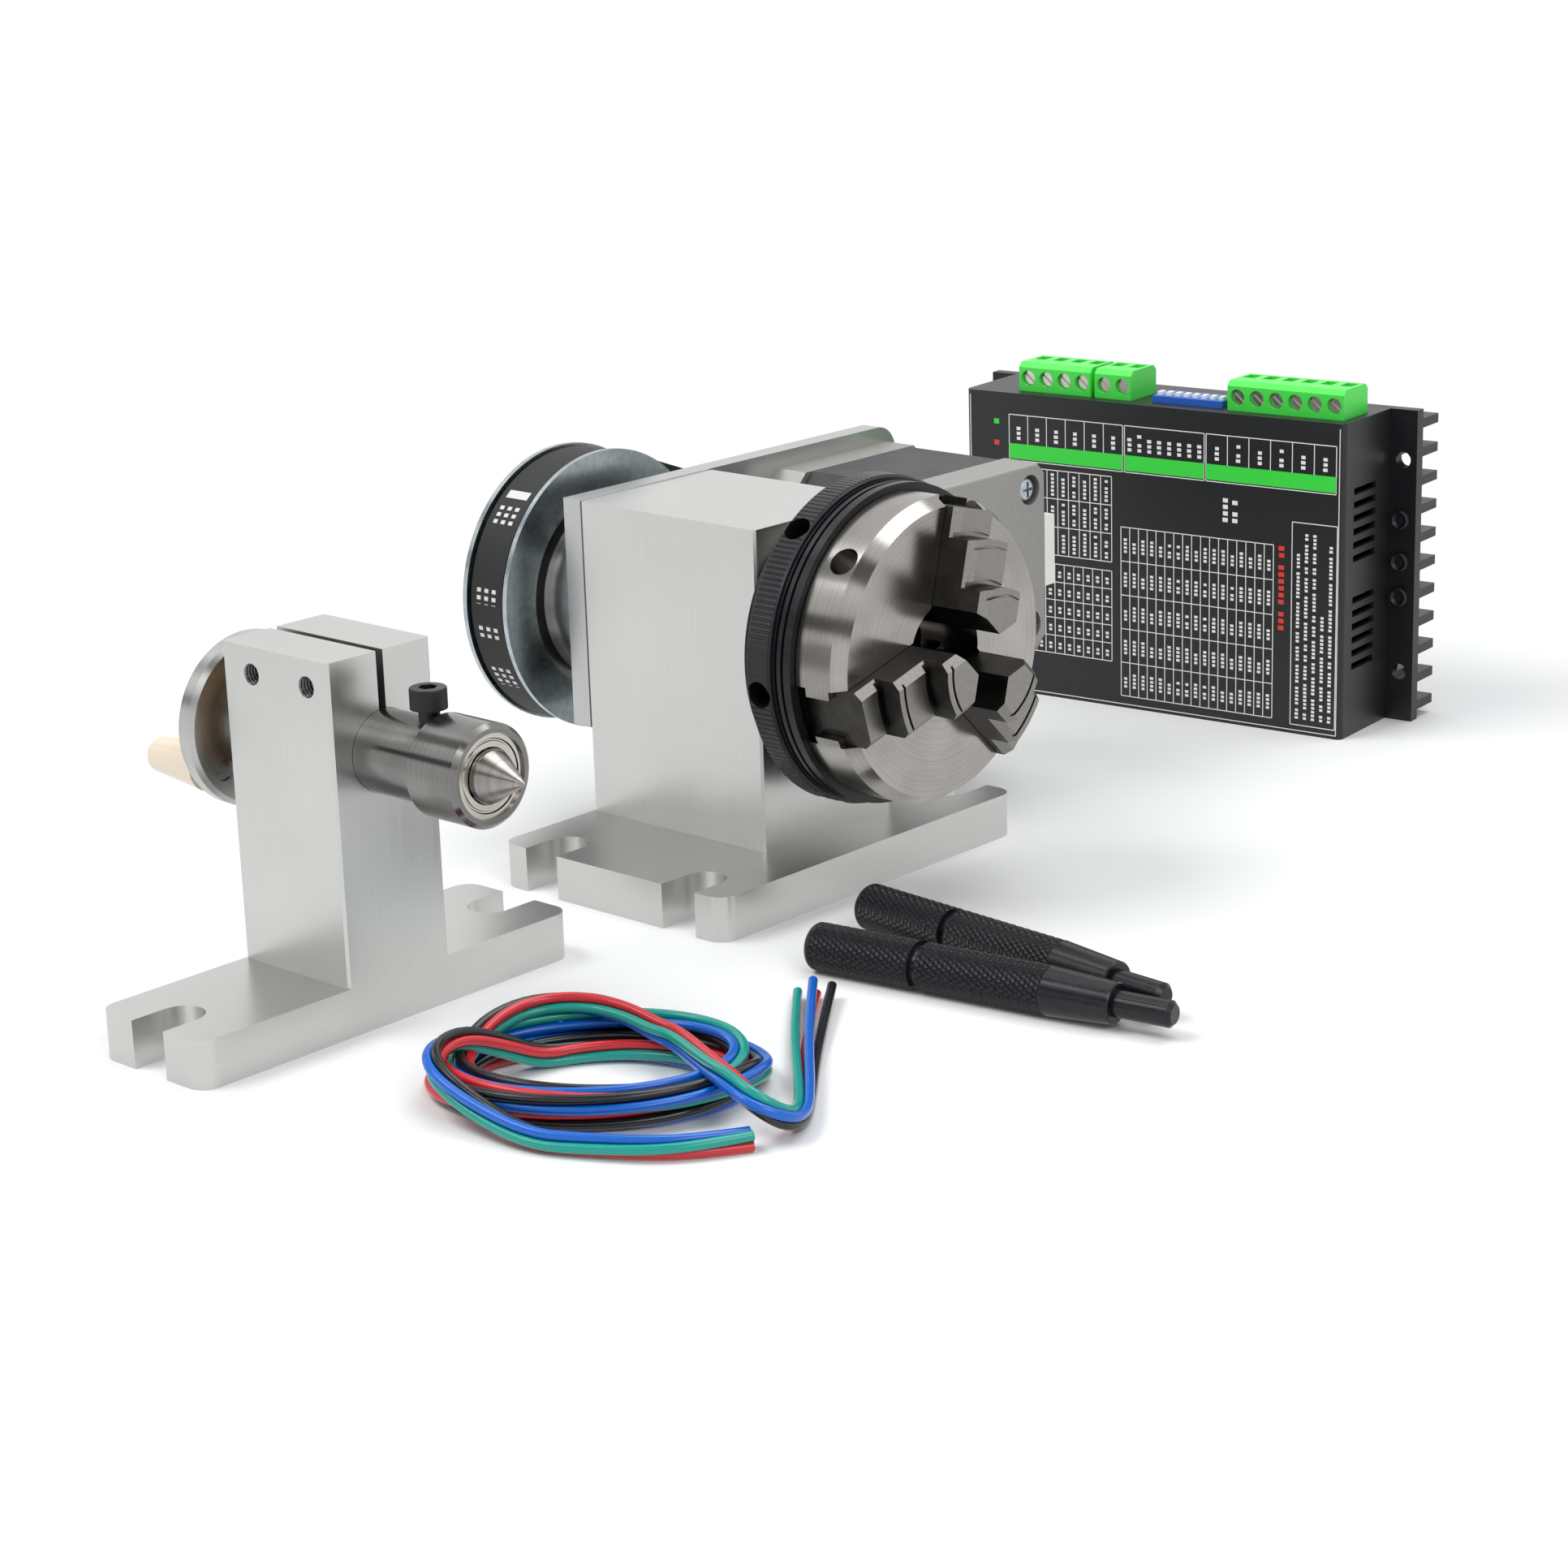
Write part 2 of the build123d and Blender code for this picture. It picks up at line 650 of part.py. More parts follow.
def chuck(back_x, hub_x):
    body_x = hub_x + scroll_len + chuck_gap
    face_x = body_x + chuck_front_t
    plate = tube(back_x, hub_x, back_plate_r, spindle_bore_r, 0, spindle_z)
    body = rod(body_x, face_x, chuck_r, 0, 0)
    rim = body.edges().filter_by(GeomType.CIRCLE).group_by(Axis.X)[-1]
    body = chamfer(rim, chuck_chamfer, chuck_chamfer * 0.6)
    body += rod(hub_x, body_x, hub_r, 0, 0)
    body -= rod(body_x, face_x + 1, chuck_bore_r, 0, 0)
    body -= rod(hub_x - 1, body_x + 1, spindle_bore_r, 0, 0)
    wide = jaw_w / 2 + guide_gap
    neck = jaw_neck_w / 2 + guide_gap
    lip0 = face_x - jaw_lip_back
    lip1 = face_x - jaw_lip_front
    for k in range(3):
        slot = block(lip1, face_x + 1, 0, 60, -wide, wide)
        slot += block(lip0 - 1, lip1 + 1, 0, 60, -neck, neck)
        slot += block(body_x - 0.01, lip0, 0, 60, -wide, wide)
        body -= around(slot, jaw_angle + 120 * k)
        hole = aim(Cylinder(tommy_hole_r, 2 * tommy_hole_depth), (0, 0, chuck_r), (0, 0, 1))
        hole = Pos(face_x - tommy_hole_back, 0, 0) * hole
        body -= around(hole, jaw_angle + 60 - 90 + 120 * k)
        a = radians(jaw_angle + 60 + 120 * k)
        y, z = chuck_screw_pcr * cos(a), chuck_screw_pcr * sin(a)
        body -= rod(hub_x - 1, hub_x + chuck_thread_len, chuck_screw_d / 2, y, z)
        plate -= rod(back_x - 1, hub_x + 1, chuck_screw_d / 2 + 0.2, y, spindle_z + z)
    save("chuck_back_plate", plate)
    save("chuck_body", Pos(0, 0, spindle_z) * body)

    ring_x = hub_x + run_gap
    front = hub_x + scroll_len
    ring = rod(ring_x, ring_x + knurl_len, knurl_r)
    ring = chamfer(ring.edges().filter_by(GeomType.CIRCLE), 0.5)
    ring += rod(ring_x + 1, front, scroll_front_r)
    for start in ring_groove_starts:
        x = ring_x + knurl_len + start
        ring -= tube(x, x + ring_groove_w, knurl_r + 1, scroll_front_r - ring_groove_depth)
    ring -= rod(ring_x - 1, front + 1, hub_r + run_gap)
    for cut in spiral_groove(front):
        ring -= cut
    for k in range(ring_hole_count):
        angle = ring_hole_angle + 360 / ring_hole_count * k
        hole = Pos(ring_x + knurl_len / 2, 0, knurl_r) * Cylinder(ring_hole_r, 2 * tommy_hole_depth)
        ring -= around(hole, angle - 90)
    save("scroll_ring", Pos(0, 0, spindle_z) * ring)

    for k in range(3):
        save(f"jaw_{k + 1}", around(jaw(face_x, body_x, front, k), jaw_angle + 120 * k, spindle_z))


def jaw(face_x, body_x, scroll_x, k):
    """Stepped jaw pointing along +Y, at rest; its back teeth fit the scroll."""
    half = jaw_w / 2
    shoulder = jaw_tip_r + half / tan(radians(60))
    outline = Plane.YZ * Polygon((jaw_tip_r, 0), (shoulder, half), (jaw_outer_r, half),
                                 (jaw_outer_r, -half), (shoulder, -half), align=None)
    low = body_x + chuck_gap
    column = Pos(low, 0, 0) * extrude(outline, 60, dir=(1, 0, 0))
    solid = None
    for edge_r, rise in zip(jaw_step_edges, jaw_step_rise):
        top = face_x + rise
        profile = Plane.XZ * Polygon((low, -half), (top - jaw_chamfer, -half), (top, -half + jaw_chamfer),
                                     (top, half - jaw_chamfer), (top - jaw_chamfer, half),
                                     (low, half), align=None)
        prism = extrude(profile, 60, dir=(0, 1, 0))
        step = (prism & column) & rod(low, top + 1, edge_r + 5 if solid is None else edge_r)
        solid = step if solid is None else solid + step
    for edge_r, rise in zip(jaw_step_edges[1:], jaw_step_rise):
        top = face_x + rise
        solid -= tube(top - relief_depth, top + 0.01, edge_r + relief_w, edge_r - 0.01)
    for edge_r, rise in zip(jaw_step_edges[1:], jaw_step_rise[1:]):
        top = face_x + rise
        inner = edge_r - arc_groove_in - arc_groove_w
        solid -= tube(top - arc_groove_w, top + 1, edge_r - arc_groove_in, inner)
    neck = jaw_neck_w / 2
    lip_x0 = face_x - jaw_lip_back - guide_gap
    lip_x1 = face_x - jaw_lip_front + guide_gap
    for side in (-1, 1):
        low_z, high_z = sorted((side * neck, side * (half + 1)))
        solid -= block(lip_x0, lip_x1, -1, 60, low_z, high_z)
    for t in range(jaw_teeth):
        angle = jaw_angle + 120 * k
        mid_r = scroll_start_r + scroll_pitch * (angle / 360 + jaw_first_turn + t)
        tooth = tube(scroll_x - tooth_reach, low + 0.5, mid_r + tooth_t / 2, mid_r - tooth_t / 2)
        solid += tooth & block(scroll_x - 5, low + 0.5, 0, 60, -tooth_w / 2, tooth_w / 2)
    return solid


# Tailstock

def tailstock():
    rear = tail_front - tail_len
    mid_x = (rear + tail_front) / 2
    base = base_plate(rear, tail_front, tail_y + base_y_shift, tail_base_w, [mid_x])
    body = block(rear, tail_front, tail_y - tail_w / 2, tail_y + tail_w / 2, base_t, tail_top)
    body = chamfer(body.edges().filter_by(Axis.Z), block_edge)
    body -= rod(rear + bush_t, tail_front + 1, quill_r + run_gap, tail_y, spindle_z)
    body -= rod(rear - 1, rear + bush_t + 1, bush_r, tail_y, spindle_z)
    slit_low = tail_y - slit_w / 2
    slit_high = tail_y + slit_w / 2
    body -= block(rear - 1, tail_front + 1, slit_low, slit_high, spindle_z, tail_top + 1)
    screws = []
    far_face = tail_y + tail_w / 2
    for x in clamp_hole_x:
        across = Rot(90, 0, 0)
        hole = Pos(x, tail_y, clamp_hole_z) * across * Cylinder(clamp_hole_r, tail_w + 2)
        seat = Pos(x, far_face, clamp_hole_z) * across * Cylinder(clamp_seat_r, 2 * clamp_seat_depth)
        body -= hole + seat
        screw = cap_screw(m4, clamp_screw_len, small_head_d, small_head_h)
        screws.append(aim(screw, (x, far_face - clamp_seat_depth, clamp_hole_z), (0, 1, 0)))
    base_screws = []
    for y in (tail_y - tail_foot_screw_y, tail_y + tail_foot_screw_y):
        base -= post(mid_x, y, -1, base_t + 1, m5 / 2 + 0.25)
        base -= post(mid_x, y, -1, foot_screw_sink, m5 * 0.95)
        body -= post(mid_x, y, base_t - 1, base_t + foot_thread_len, m5 / 2)
        screw = cap_screw(m5, foot_screw_len)
        base_screws.append(aim(screw, (mid_x, y, foot_screw_sink), (0, 0, -1)))
    bush = tube(rear, rear + bush_t, bush_r, leadscrew_r + run_gap, tail_y, spindle_z)
    bush += tube(rear - bush_flange_t, rear, bush_flange_r, leadscrew_r + run_gap, tail_y, spindle_z)
    save("tailstock_base", base)
    save("tailstock_block", body)
    save("tailstock_clamp_screws", *screws)
    save("tailstock_base_screws", *base_screws)
    save("screw_bush", bush)

    quill_rear = tail_front - quill_in
    head_x = tail_front + quill_out
    head_end = head_x + center_head_len
    nut_depth = head_x - quill_rear - quill_wall
    quill = rod(quill_rear, head_x, quill_r, tail_y, spindle_z)
    head = rod(head_x, head_end, center_head_r, tail_y, spindle_z)
    head = chamfer(head.edges().filter_by(GeomType.CIRCLE), 0.8)
    quill += head
    quill -= rod(quill_rear - 1, quill_rear + nut_depth, leadscrew_r + run_gap, tail_y, spindle_z)
    recess_x = head_end - 2 * center_bearing_w - 0.6
    quill -= rod(recess_x, head_end + 1, center_bearing_r, tail_y, spindle_z)
    quill -= rod(recess_x - 2, recess_x + 1, center_bearing_r - 2, tail_y, spindle_z)
    top = spindle_z + quill_r
    quill -= post(lock_screw_x, tail_y, top - lock_screw_depth, top + 1, m4 / 2)
    lock = cap_screw(m4, lock_screw_len, small_head_d, small_head_h)
    lock = Pos(lock_screw_x, tail_y, top + lock_screw_lift) * lock
    save("quill", quill)
    save("quill_lock_screw", lock)
    outers = []
    inners = []
    balls = []
    for x0 in (recess_x, recess_x + center_bearing_w):
        o, i, b = bearing(x0, center_bearing_w, center_shaft_r, center_bearing_r, center_ring_wall,
                          center_ball_r, center_balls, tail_y, spindle_z)
        outers.append(o)
        inners.append(i)
        balls.extend(b)
    save("center_bearing_outer_rings", *outers)
    save("center_bearing_inner_rings", *inners)
    save("center_bearing_balls", *balls)
    collar_x = recess_x + 2 * center_bearing_w
    cone_x = collar_x + cone_collar
    cone_len = cone_r / tan(radians(30))
    center = rod(recess_x - 1.2, collar_x, center_shaft_r, tail_y, spindle_z)
    center += rod(collar_x, cone_x, cone_r, tail_y, spindle_z)
    center += Pos(cone_x + cone_len / 2, tail_y, spindle_z) * Rot(0, 90, 0) * Cone(cone_r, 0, cone_len)
    save("live_center", center)

    wheel_x = rear - bush_flange_t - wheel_gap
    wheel = rod(wheel_x - wheel_t, wheel_x, wheel_r, tail_y, spindle_z)
    wheel = chamfer(wheel.edges().filter_by(GeomType.CIRCLE), 0.9)
    wheel += rod(wheel_x, rear - bush_flange_t - run_gap, bush_r, tail_y, spindle_z)
    wheel -= rod(wheel_x - wheel_t - 1, rear, wheel_bore_r, tail_y, spindle_z)
    handle_x = wheel_x - wheel_t
    hy, hz = tail_y + handle_y, spindle_z + handle_z
    wheel -= rod(handle_x - 1, wheel_x + 1, m4 / 2 + 0.1, hy, hz)
    save("handwheel", wheel)
    screw = rod(wheel_x - wheel_t - 0.8, rear - bush_flange_t - run_gap, wheel_bore_r, tail_y, spindle_z)
    screw_back = rear - bush_flange_t - run_gap
    screw_front = quill_rear + nut_depth - 10.0
    screw += rod(screw_back, screw_front, leadscrew_r, tail_y, spindle_z)
    save("leadscrew", screw)
    handle = Rot(0, -90, 0) * Cone(handle_r, handle_tip_r, handle_len)
    handle = Pos(handle_x - 0.1 - handle_len / 2, hy, hz) * handle
    handle = fillet(handle.edges().group_by(Axis.X)[0], 2.2)
    handle -= rod(handle_x - handle_len - 5, handle_x + 1, m4 / 2 + run_gap, hy, hz)
    save("crank_handle", handle)
    save("crank_handle_screw", rod(handle_x - handle_len + 3, wheel_x - 0.4, m4 / 2, hy, hz))


# Tommy bars

def tommy_bars():
    grip2 = bar_len - bar_pin_len - bar_taper_len - bar_grip_len - bar_neck_len
    for k, (x, y, angle) in enumerate(bar_places):
        bar = rod(0, bar_grip_len, bar_r)
        bar = fillet(bar.edges().group_by(Axis.X)[0], 1.6)
        end2 = bar_grip_len + bar_neck_len + grip2
        bar += rod(bar_grip_len, bar_grip_len + bar_neck_len, bar_neck_r)
        bar += rod(bar_grip_len + bar_neck_len, end2, bar_r)
        taper = Cone(bar_r, bar_taper_r, bar_taper_len)
        bar += Pos(end2 + bar_taper_len / 2, 0, 0) * Rot(0, 90, 0) * taper
        pin = rod(end2 + bar_taper_len, bar_len, bar_pin_r)
        pin = chamfer(pin.edges().group_by(Axis.X)[-1], 0.8)
        bar += pin
        save(f"tommy_bar_{k + 1}", Pos(x, y, bar_r) * Rot(0, 0, angle) * bar)


# Driver

def driver():
    place = Pos(driver_x, driver_y, 0) * Rot(0, 0, driver_turn)
    lip = (driver_len - cover_len) / 2
    sink_b = cover_depth
    web = block(0, driver_len, sink_b, sink_b + sink_web_t, 0, driver_h)
    step = driver_h / fin_count
    for i in range(fin_count):
        z = step * (i + 0.5)
        web += block(lip, driver_len, sink_b + sink_web_t, driver_depth, z - fin_t / 2, z + fin_t / 2)
    for a in (mount_hole_in, driver_len - mount_hole_in):
        for z in (mount_hole_z, driver_h - mount_hole_z):
            web -= Pos(a, sink_b + 1, z) * Rot(90, 0, 0) * Cylinder(mount_hole_r, 12)
    shell = block(lip, lip + cover_len, 0, sink_b, 0, driver_h)
    shell = fillet(shell.edges().filter_by(Axis.Z).group_by(Axis.Y)[0], 1.5)
    inner = block(lip + cover_wall, lip + cover_len - cover_wall, cover_wall, sink_b + 1,
                  cover_wall, driver_h - cover_wall)
    shell -= inner
    b0 = terminal_b
    pads = [(signal_a, 4), (pair_a, 2), (power_a, 6)]
    terminals = []
    screws = []
    for a0, count in pads:
        length = count * terminal_pitch
        near, far = b0 - terminal_gap, b0 + terminal_depth + terminal_gap
        shell -= block(lip + a0 - terminal_gap, lip + a0 + length + terminal_gap, near, far,
                       driver_h - 3, driver_h + 1)
        low = driver_h - terminal_sink
        body = block(lip + a0, lip + a0 + length, b0, b0 + terminal_depth, low, low + terminal_h)
        top_edges = body.edges().filter_by(Axis.X).group_by(Axis.Z)[-1]
        body = chamfer(top_edges, 1.2)
        for i in range(count):
            a = lip + a0 + (i + 0.5) * terminal_pitch
            eye = low + terminal_h * 0.62
            top = low + terminal_h
            body -= Pos(a, b0, eye) * Rot(90, 0, 0) * Cylinder(terminal_eye_r, 5.0)
            body -= block(a - 1.5, a + 1.5, b0 + 5.6, b0 + 9.6, top - 4, top + 1)
            head = Pos(a, b0 + 1.7, eye) * Rot(90, 0, 0) * Cylinder(1.75, 1.4)
            head -= Pos(a, b0 + 1.0, eye) * Rot(0, 40, 0) * Box(4.2, 0.9, 0.55)
            screws.append(place * head)
        terminals.append(place * body)
    dip_x0 = lip + dip_a
    low = driver_h - 2.0
    near, far = b0 + 1 - terminal_gap, b0 + 1 + dip_depth + terminal_gap
    shell -= block(dip_x0 - terminal_gap, dip_x0 + dip_len + terminal_gap, near, far,
                   driver_h - 3, driver_h + 1)
    dip = block(dip_x0, dip_x0 + dip_len, b0 + 1, b0 + 1 + dip_depth, low, driver_h + 1.6)
    levers = []
    dip_step = dip_len / dip_levers
    for i in range(dip_levers):
        a = dip_x0 + dip_step * (i + 0.5)
        dip -= block(a - 0.75, a + 0.75, b0 + 2.4, b0 + 7.6, driver_h + 0.2, driver_h + 3)
        lever = block(a - 0.6, a + 0.6, b0 + 2.5, b0 + 4.6, driver_h + 0.2, driver_h + 2.4)
        levers.append(place * lever)
    board = block(lip + 3, lip + cover_len - 3, b0 + 2, b0 + 2 + board_t, cover_wall,
                  driver_h - terminal_sink)
    side = lip + cover_len
    for i in range(vent_count):
        for z0 in vent_starts:
            z = z0 + vent_pitch * i
            shell -= block(side - 3, side + 3, vent_b[0], vent_b[1], z, z + vent_w)
    save("driver_heatsink", place * web)
    save("driver_cover", place * shell)
    save("signal_terminals", *terminals[:2])
    save("power_terminals", terminals[2])
    save("terminal_screws", *screws)
    save("dip_switch", place * dip)
    save("dip_levers", *levers)
    save("driver_board", place * board)


# Motor lead, lying loose on the floor

def lead_tube(points):
    """Round lead of straight runs joined by tangent arcs."""
    route = [Vector(x, y, lead_z) for x, y in points]
    radii = []
    for before, here, after in zip(route, route[1:], route[2:]):
        half_turn = radians((here - before).get_angle(after - here)) / 2
        shorter = min((here - before).length, (after - here).length)
        radii.append(0.45 * shorter / tan(half_turn))
    print("lead radii", [round(r, 1) for r in radii])
    path = FilletPolyline(*route, radius=radii)
    section = Plane(origin=route[0], z_dir=route[1] - route[0]) * Circle(lead_r)
    solid = sweep(section, path=path)
    print("lead length", round(path.length, 1))
    return solid


def motor_lead():
    outer = extrude(Ellipse(coil_long, coil_short), coil_h)
    inner = extrude(Ellipse(coil_long - coil_w, coil_short - coil_w), coil_h)
    coil = outer - inner
    coil = chamfer(coil.edges().group_by(Axis.Z)[-1], 2.0)
    save("motor_lead_coil", Pos(coil_x, coil_y, 0) * Rot(0, 0, coil_turn) * coil)
    save("motor_lead_tail_a", lead_tube(tail_a_points))
    save("motor_lead_tail_b", lead_tube(tail_b_points))


back_of_plate, hub_back = spindle()
headstock()
belt_and_small_pulley()
motor()
chuck(back_of_plate, hub_back)
tailstock()
tommy_bars()
driver()
motor_lead()
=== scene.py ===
# %% [markdown]
# The set is a small rotary axis for a milling machine: a belt driven headstock
# with a three-jaw chuck, a tailstock with a live centre, two tommy bars, a coil
# of motor lead and the motor's driver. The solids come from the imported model.
# This script gives them their finish and adds what is too fine for a solid.

# %% Load the frame
import random
from math import cos, pi, radians, sin, tau

import bmesh
import bpy
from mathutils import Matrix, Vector


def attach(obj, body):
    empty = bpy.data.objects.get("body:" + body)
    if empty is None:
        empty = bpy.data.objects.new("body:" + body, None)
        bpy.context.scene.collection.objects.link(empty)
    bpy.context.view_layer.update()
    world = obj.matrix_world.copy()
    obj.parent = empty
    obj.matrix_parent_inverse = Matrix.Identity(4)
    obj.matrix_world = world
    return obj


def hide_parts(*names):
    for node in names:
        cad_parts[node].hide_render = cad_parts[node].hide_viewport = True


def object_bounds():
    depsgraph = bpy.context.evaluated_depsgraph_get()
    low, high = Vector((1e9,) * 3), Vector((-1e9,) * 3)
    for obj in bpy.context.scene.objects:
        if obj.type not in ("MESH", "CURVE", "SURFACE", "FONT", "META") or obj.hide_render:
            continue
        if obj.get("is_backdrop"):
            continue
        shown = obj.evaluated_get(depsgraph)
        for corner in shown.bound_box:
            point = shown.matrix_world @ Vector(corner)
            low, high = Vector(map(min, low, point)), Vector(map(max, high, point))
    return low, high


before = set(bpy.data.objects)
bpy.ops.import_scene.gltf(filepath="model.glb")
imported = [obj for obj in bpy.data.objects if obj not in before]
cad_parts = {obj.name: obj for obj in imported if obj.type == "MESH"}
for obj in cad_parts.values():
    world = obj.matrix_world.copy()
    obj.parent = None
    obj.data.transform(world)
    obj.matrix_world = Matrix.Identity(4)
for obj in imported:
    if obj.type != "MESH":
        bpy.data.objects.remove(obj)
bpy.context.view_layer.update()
MM = 0.001
# The spindle, the motor and the tailstock turn about lines along X, all at one height
AXIS_Z = 53.0
MOTOR_Y = 60.4
TAIL_Y = -115.6

# %% [markdown]
# The camera comes first, because everything is judged through it. Its place and
# turn were worked out from the corners of the blocks and the rims of the chuck,
# and its lens from how fast parallel edges run together in a square picture.

# %% Camera
CAMERA_PLACE = (0.482006, -0.516286, 0.227505)
CAMERA_TURN = (73.332, 1.740, 42.185)
LENS = 79.15

camera_data = bpy.data.cameras.new("camera")
camera_data.lens = LENS
camera_data.sensor_width = 36.0
camera_data.clip_start = 0.01
camera = bpy.data.objects.new("camera", camera_data)
bpy.context.collection.objects.link(camera)
camera.location = CAMERA_PLACE
camera.rotation_euler = [radians(a) for a in CAMERA_TURN]
bpy.context.scene.camera = camera
bpy.context.scene.view_settings.view_transform = "Standard"
print("camera at", CAMERA_PLACE)

# %% [markdown]
# Every finish is a small graph of nodes. One function adds a node, fills its
# sockets and can plug it into the shader. Another turns a colour as it is seen
# on a screen into linear light. Pattern sizes are given in real millimetres.
# Where a node has sockets of one name, they go by number: Map Range reads the
# range 1 to 2 and gives the range 3 to 4, and Mix blends colours 6 and 7 into
# its output 2.

# %% Helpers for finishes
def linear(hex_colour):
    """An sRGB hex value as linear red, green, blue and alpha."""
    parts = [int(hex_colour[i:i + 2], 16) / 255 for i in (1, 3, 5)]
    return [p / 12.92 if p <= 0.04045 else ((p + 0.055) / 1.055) ** 2.4 for p in parts] + [1.0]


def node(owner, kind, inputs=None, to=None, out=0, **settings):
    """Adds one node. A socket gets a value or another node's output; to is a socket it feeds."""
    made = owner.node_tree.nodes.new(kind)
    for key, value in settings.items():
        setattr(made, key, value)
    for socket, value in (inputs or {}).items():
        if isinstance(value, bpy.types.NodeSocket):
            owner.node_tree.links.new(value, made.inputs[socket])
        else:
            made.inputs[socket].default_value = value
    if to is not None:
        owner.node_tree.links.new(made.outputs[out], to)
    return made


def blank(name, hex_colour, **shader):
    """A new material, its shader with plain values, and the object's own coordinates."""
    material = bpy.data.materials.new(name)
    material.use_nodes = True
    material.node_tree.nodes.clear()
    values = {"Base Color": linear(hex_colour),
              **{k.replace("_", " "): v for k, v in shader.items()}}
    skin = node(material, "ShaderNodeBsdfPrincipled", values)
    node(material, "ShaderNodeOutputMaterial", {"Surface": skin.outputs[0]})
    place = node(material, "ShaderNodeTexCoord").outputs["Object"]
    return material, skin, place


def per_mm(size):
    """Texture scale for a pattern that repeats about once in that many millimetres."""
    return 1.0 / (size * MM)


def finish(material, *names):
    """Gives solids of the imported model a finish."""
    for name in names:
        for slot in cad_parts[name].material_slots:
            slot.material = material
    print(material.name, "on", ", ".join(names))


# %% [markdown]
# The floor is plain white paper. Near the set it keeps the soft shadows, and
# further out it turns into an even white, so that the picture has the clean
# background of a catalogue photograph. Reflections see it whiter near the set
# too. The white comes from the paper's own light, by the kind of ray, and not
# from more lamps, so the set keeps its colours.

# %% Floor
FLOOR_SIZE = 8.0
SET_MIDDLE = (0.03, -0.02, 0)
FADE_FROM, FADE_TO = 0.20, 0.42
MIRROR_WHITE = 0.4
bpy.ops.object.select_all(action="DESELECT")
bpy.ops.mesh.primitive_plane_add(size=FLOOR_SIZE, location=(0, 0, 0))
floor = bpy.context.object
floor.name = "floor"
floor.data.name = "floor"
paper, paper_skin, place = blank("white_paper", "#F4F4F4", Roughness=0.9)
floor.data.materials.append(paper)
away = node(paper, "ShaderNodeVectorMath", {0: place, 1: SET_MIDDLE}, operation="DISTANCE")
share = node(paper, "ShaderNodeMapRange", {0: away.outputs["Value"], 1: FADE_FROM, 2: FADE_TO},
             interpolation_type="SMOOTHSTEP")
rays = node(paper, "ShaderNodeLightPath")
seen = node(paper, "ShaderNodeMath",
            {0: rays.outputs["Is Camera Ray"], 1: rays.outputs["Is Glossy Ray"]},
            operation="MAXIMUM")
mirror = node(paper, "ShaderNodeMath", {0: rays.outputs["Is Glossy Ray"], 1: MIRROR_WHITE},
              operation="MULTIPLY")
share = node(paper, "ShaderNodeMath", {0: share.outputs[0], 1: mirror.outputs[0]},
             operation="MAXIMUM")
share = node(paper, "ShaderNodeMath", {0: share.outputs[0], 1: seen.outputs[0]},
             operation="MULTIPLY")
glow = node(paper, "ShaderNodeEmission", {"Color": (1, 1, 1, 1), "Strength": 1.0})
result = node(paper, "ShaderNodeMixShader", {0: share.outputs[0], 1: paper_skin.outputs[0],
                                             2: glow.outputs[0]})
final = [n for n in paper.node_tree.nodes if n.type == "OUTPUT_MATERIAL"][0]
paper.node_tree.links.new(result.outputs[0], final.inputs["Surface"])
floor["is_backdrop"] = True
print("floor", FLOOR_SIZE, "m")

# %% [markdown]
# Polished metal has no look of its own and shows what stands round it. So the
# room is white for reflections and dim for everything else, and the lamps are
# large soft boxes. A black and a grey card along the shafts, seen by reflections
# only, give turned steel the dark bands that a studio's flags give it.

# %% World, lamps and cards
WORLD_LIGHT = 0.45
KEY_WATTS = 7.0
FRONT_WATTS = 3.5
TOP_WATTS = 5.5
world = bpy.context.scene.world or bpy.data.worlds.new("world")
bpy.context.scene.world = world
world.use_nodes = True
world.node_tree.nodes.clear()
rays = node(world, "ShaderNodeLightPath")
seen = node(world, "ShaderNodeMath",
            {0: rays.outputs["Is Camera Ray"], 1: rays.outputs["Is Glossy Ray"]},
            operation="MAXIMUM")
seen = node(world, "ShaderNodeMath", {0: seen.outputs[0], 1: rays.outputs["Is Transmission Ray"]},
            operation="MAXIMUM")
white = node(world, "ShaderNodeBackground", {"Color": (1, 1, 1, 1), "Strength": 1.0})
dim = node(world, "ShaderNodeBackground", {"Color": linear("#EEF1F4"), "Strength": WORLD_LIGHT})
pick = node(world, "ShaderNodeMixShader",
            {0: seen.outputs[0], 1: dim.outputs[0], 2: white.outputs[0]})
node(world, "ShaderNodeOutputWorld", {"Surface": pick.outputs[0]})


def softbox(name, place, aim, size, watts):
    """A broad area lamp that looks at a point."""
    lamp = bpy.data.lights.new(name, "AREA")
    lamp.shape = "RECTANGLE"
    lamp.size, lamp.size_y = size
    lamp.energy = watts
    holder = bpy.data.objects.new(name, lamp)
    bpy.context.collection.objects.link(holder)
    holder.location = place
    holder.rotation_euler = (Vector(aim) - Vector(place)).to_track_quat("-Z", "Y").to_euler()


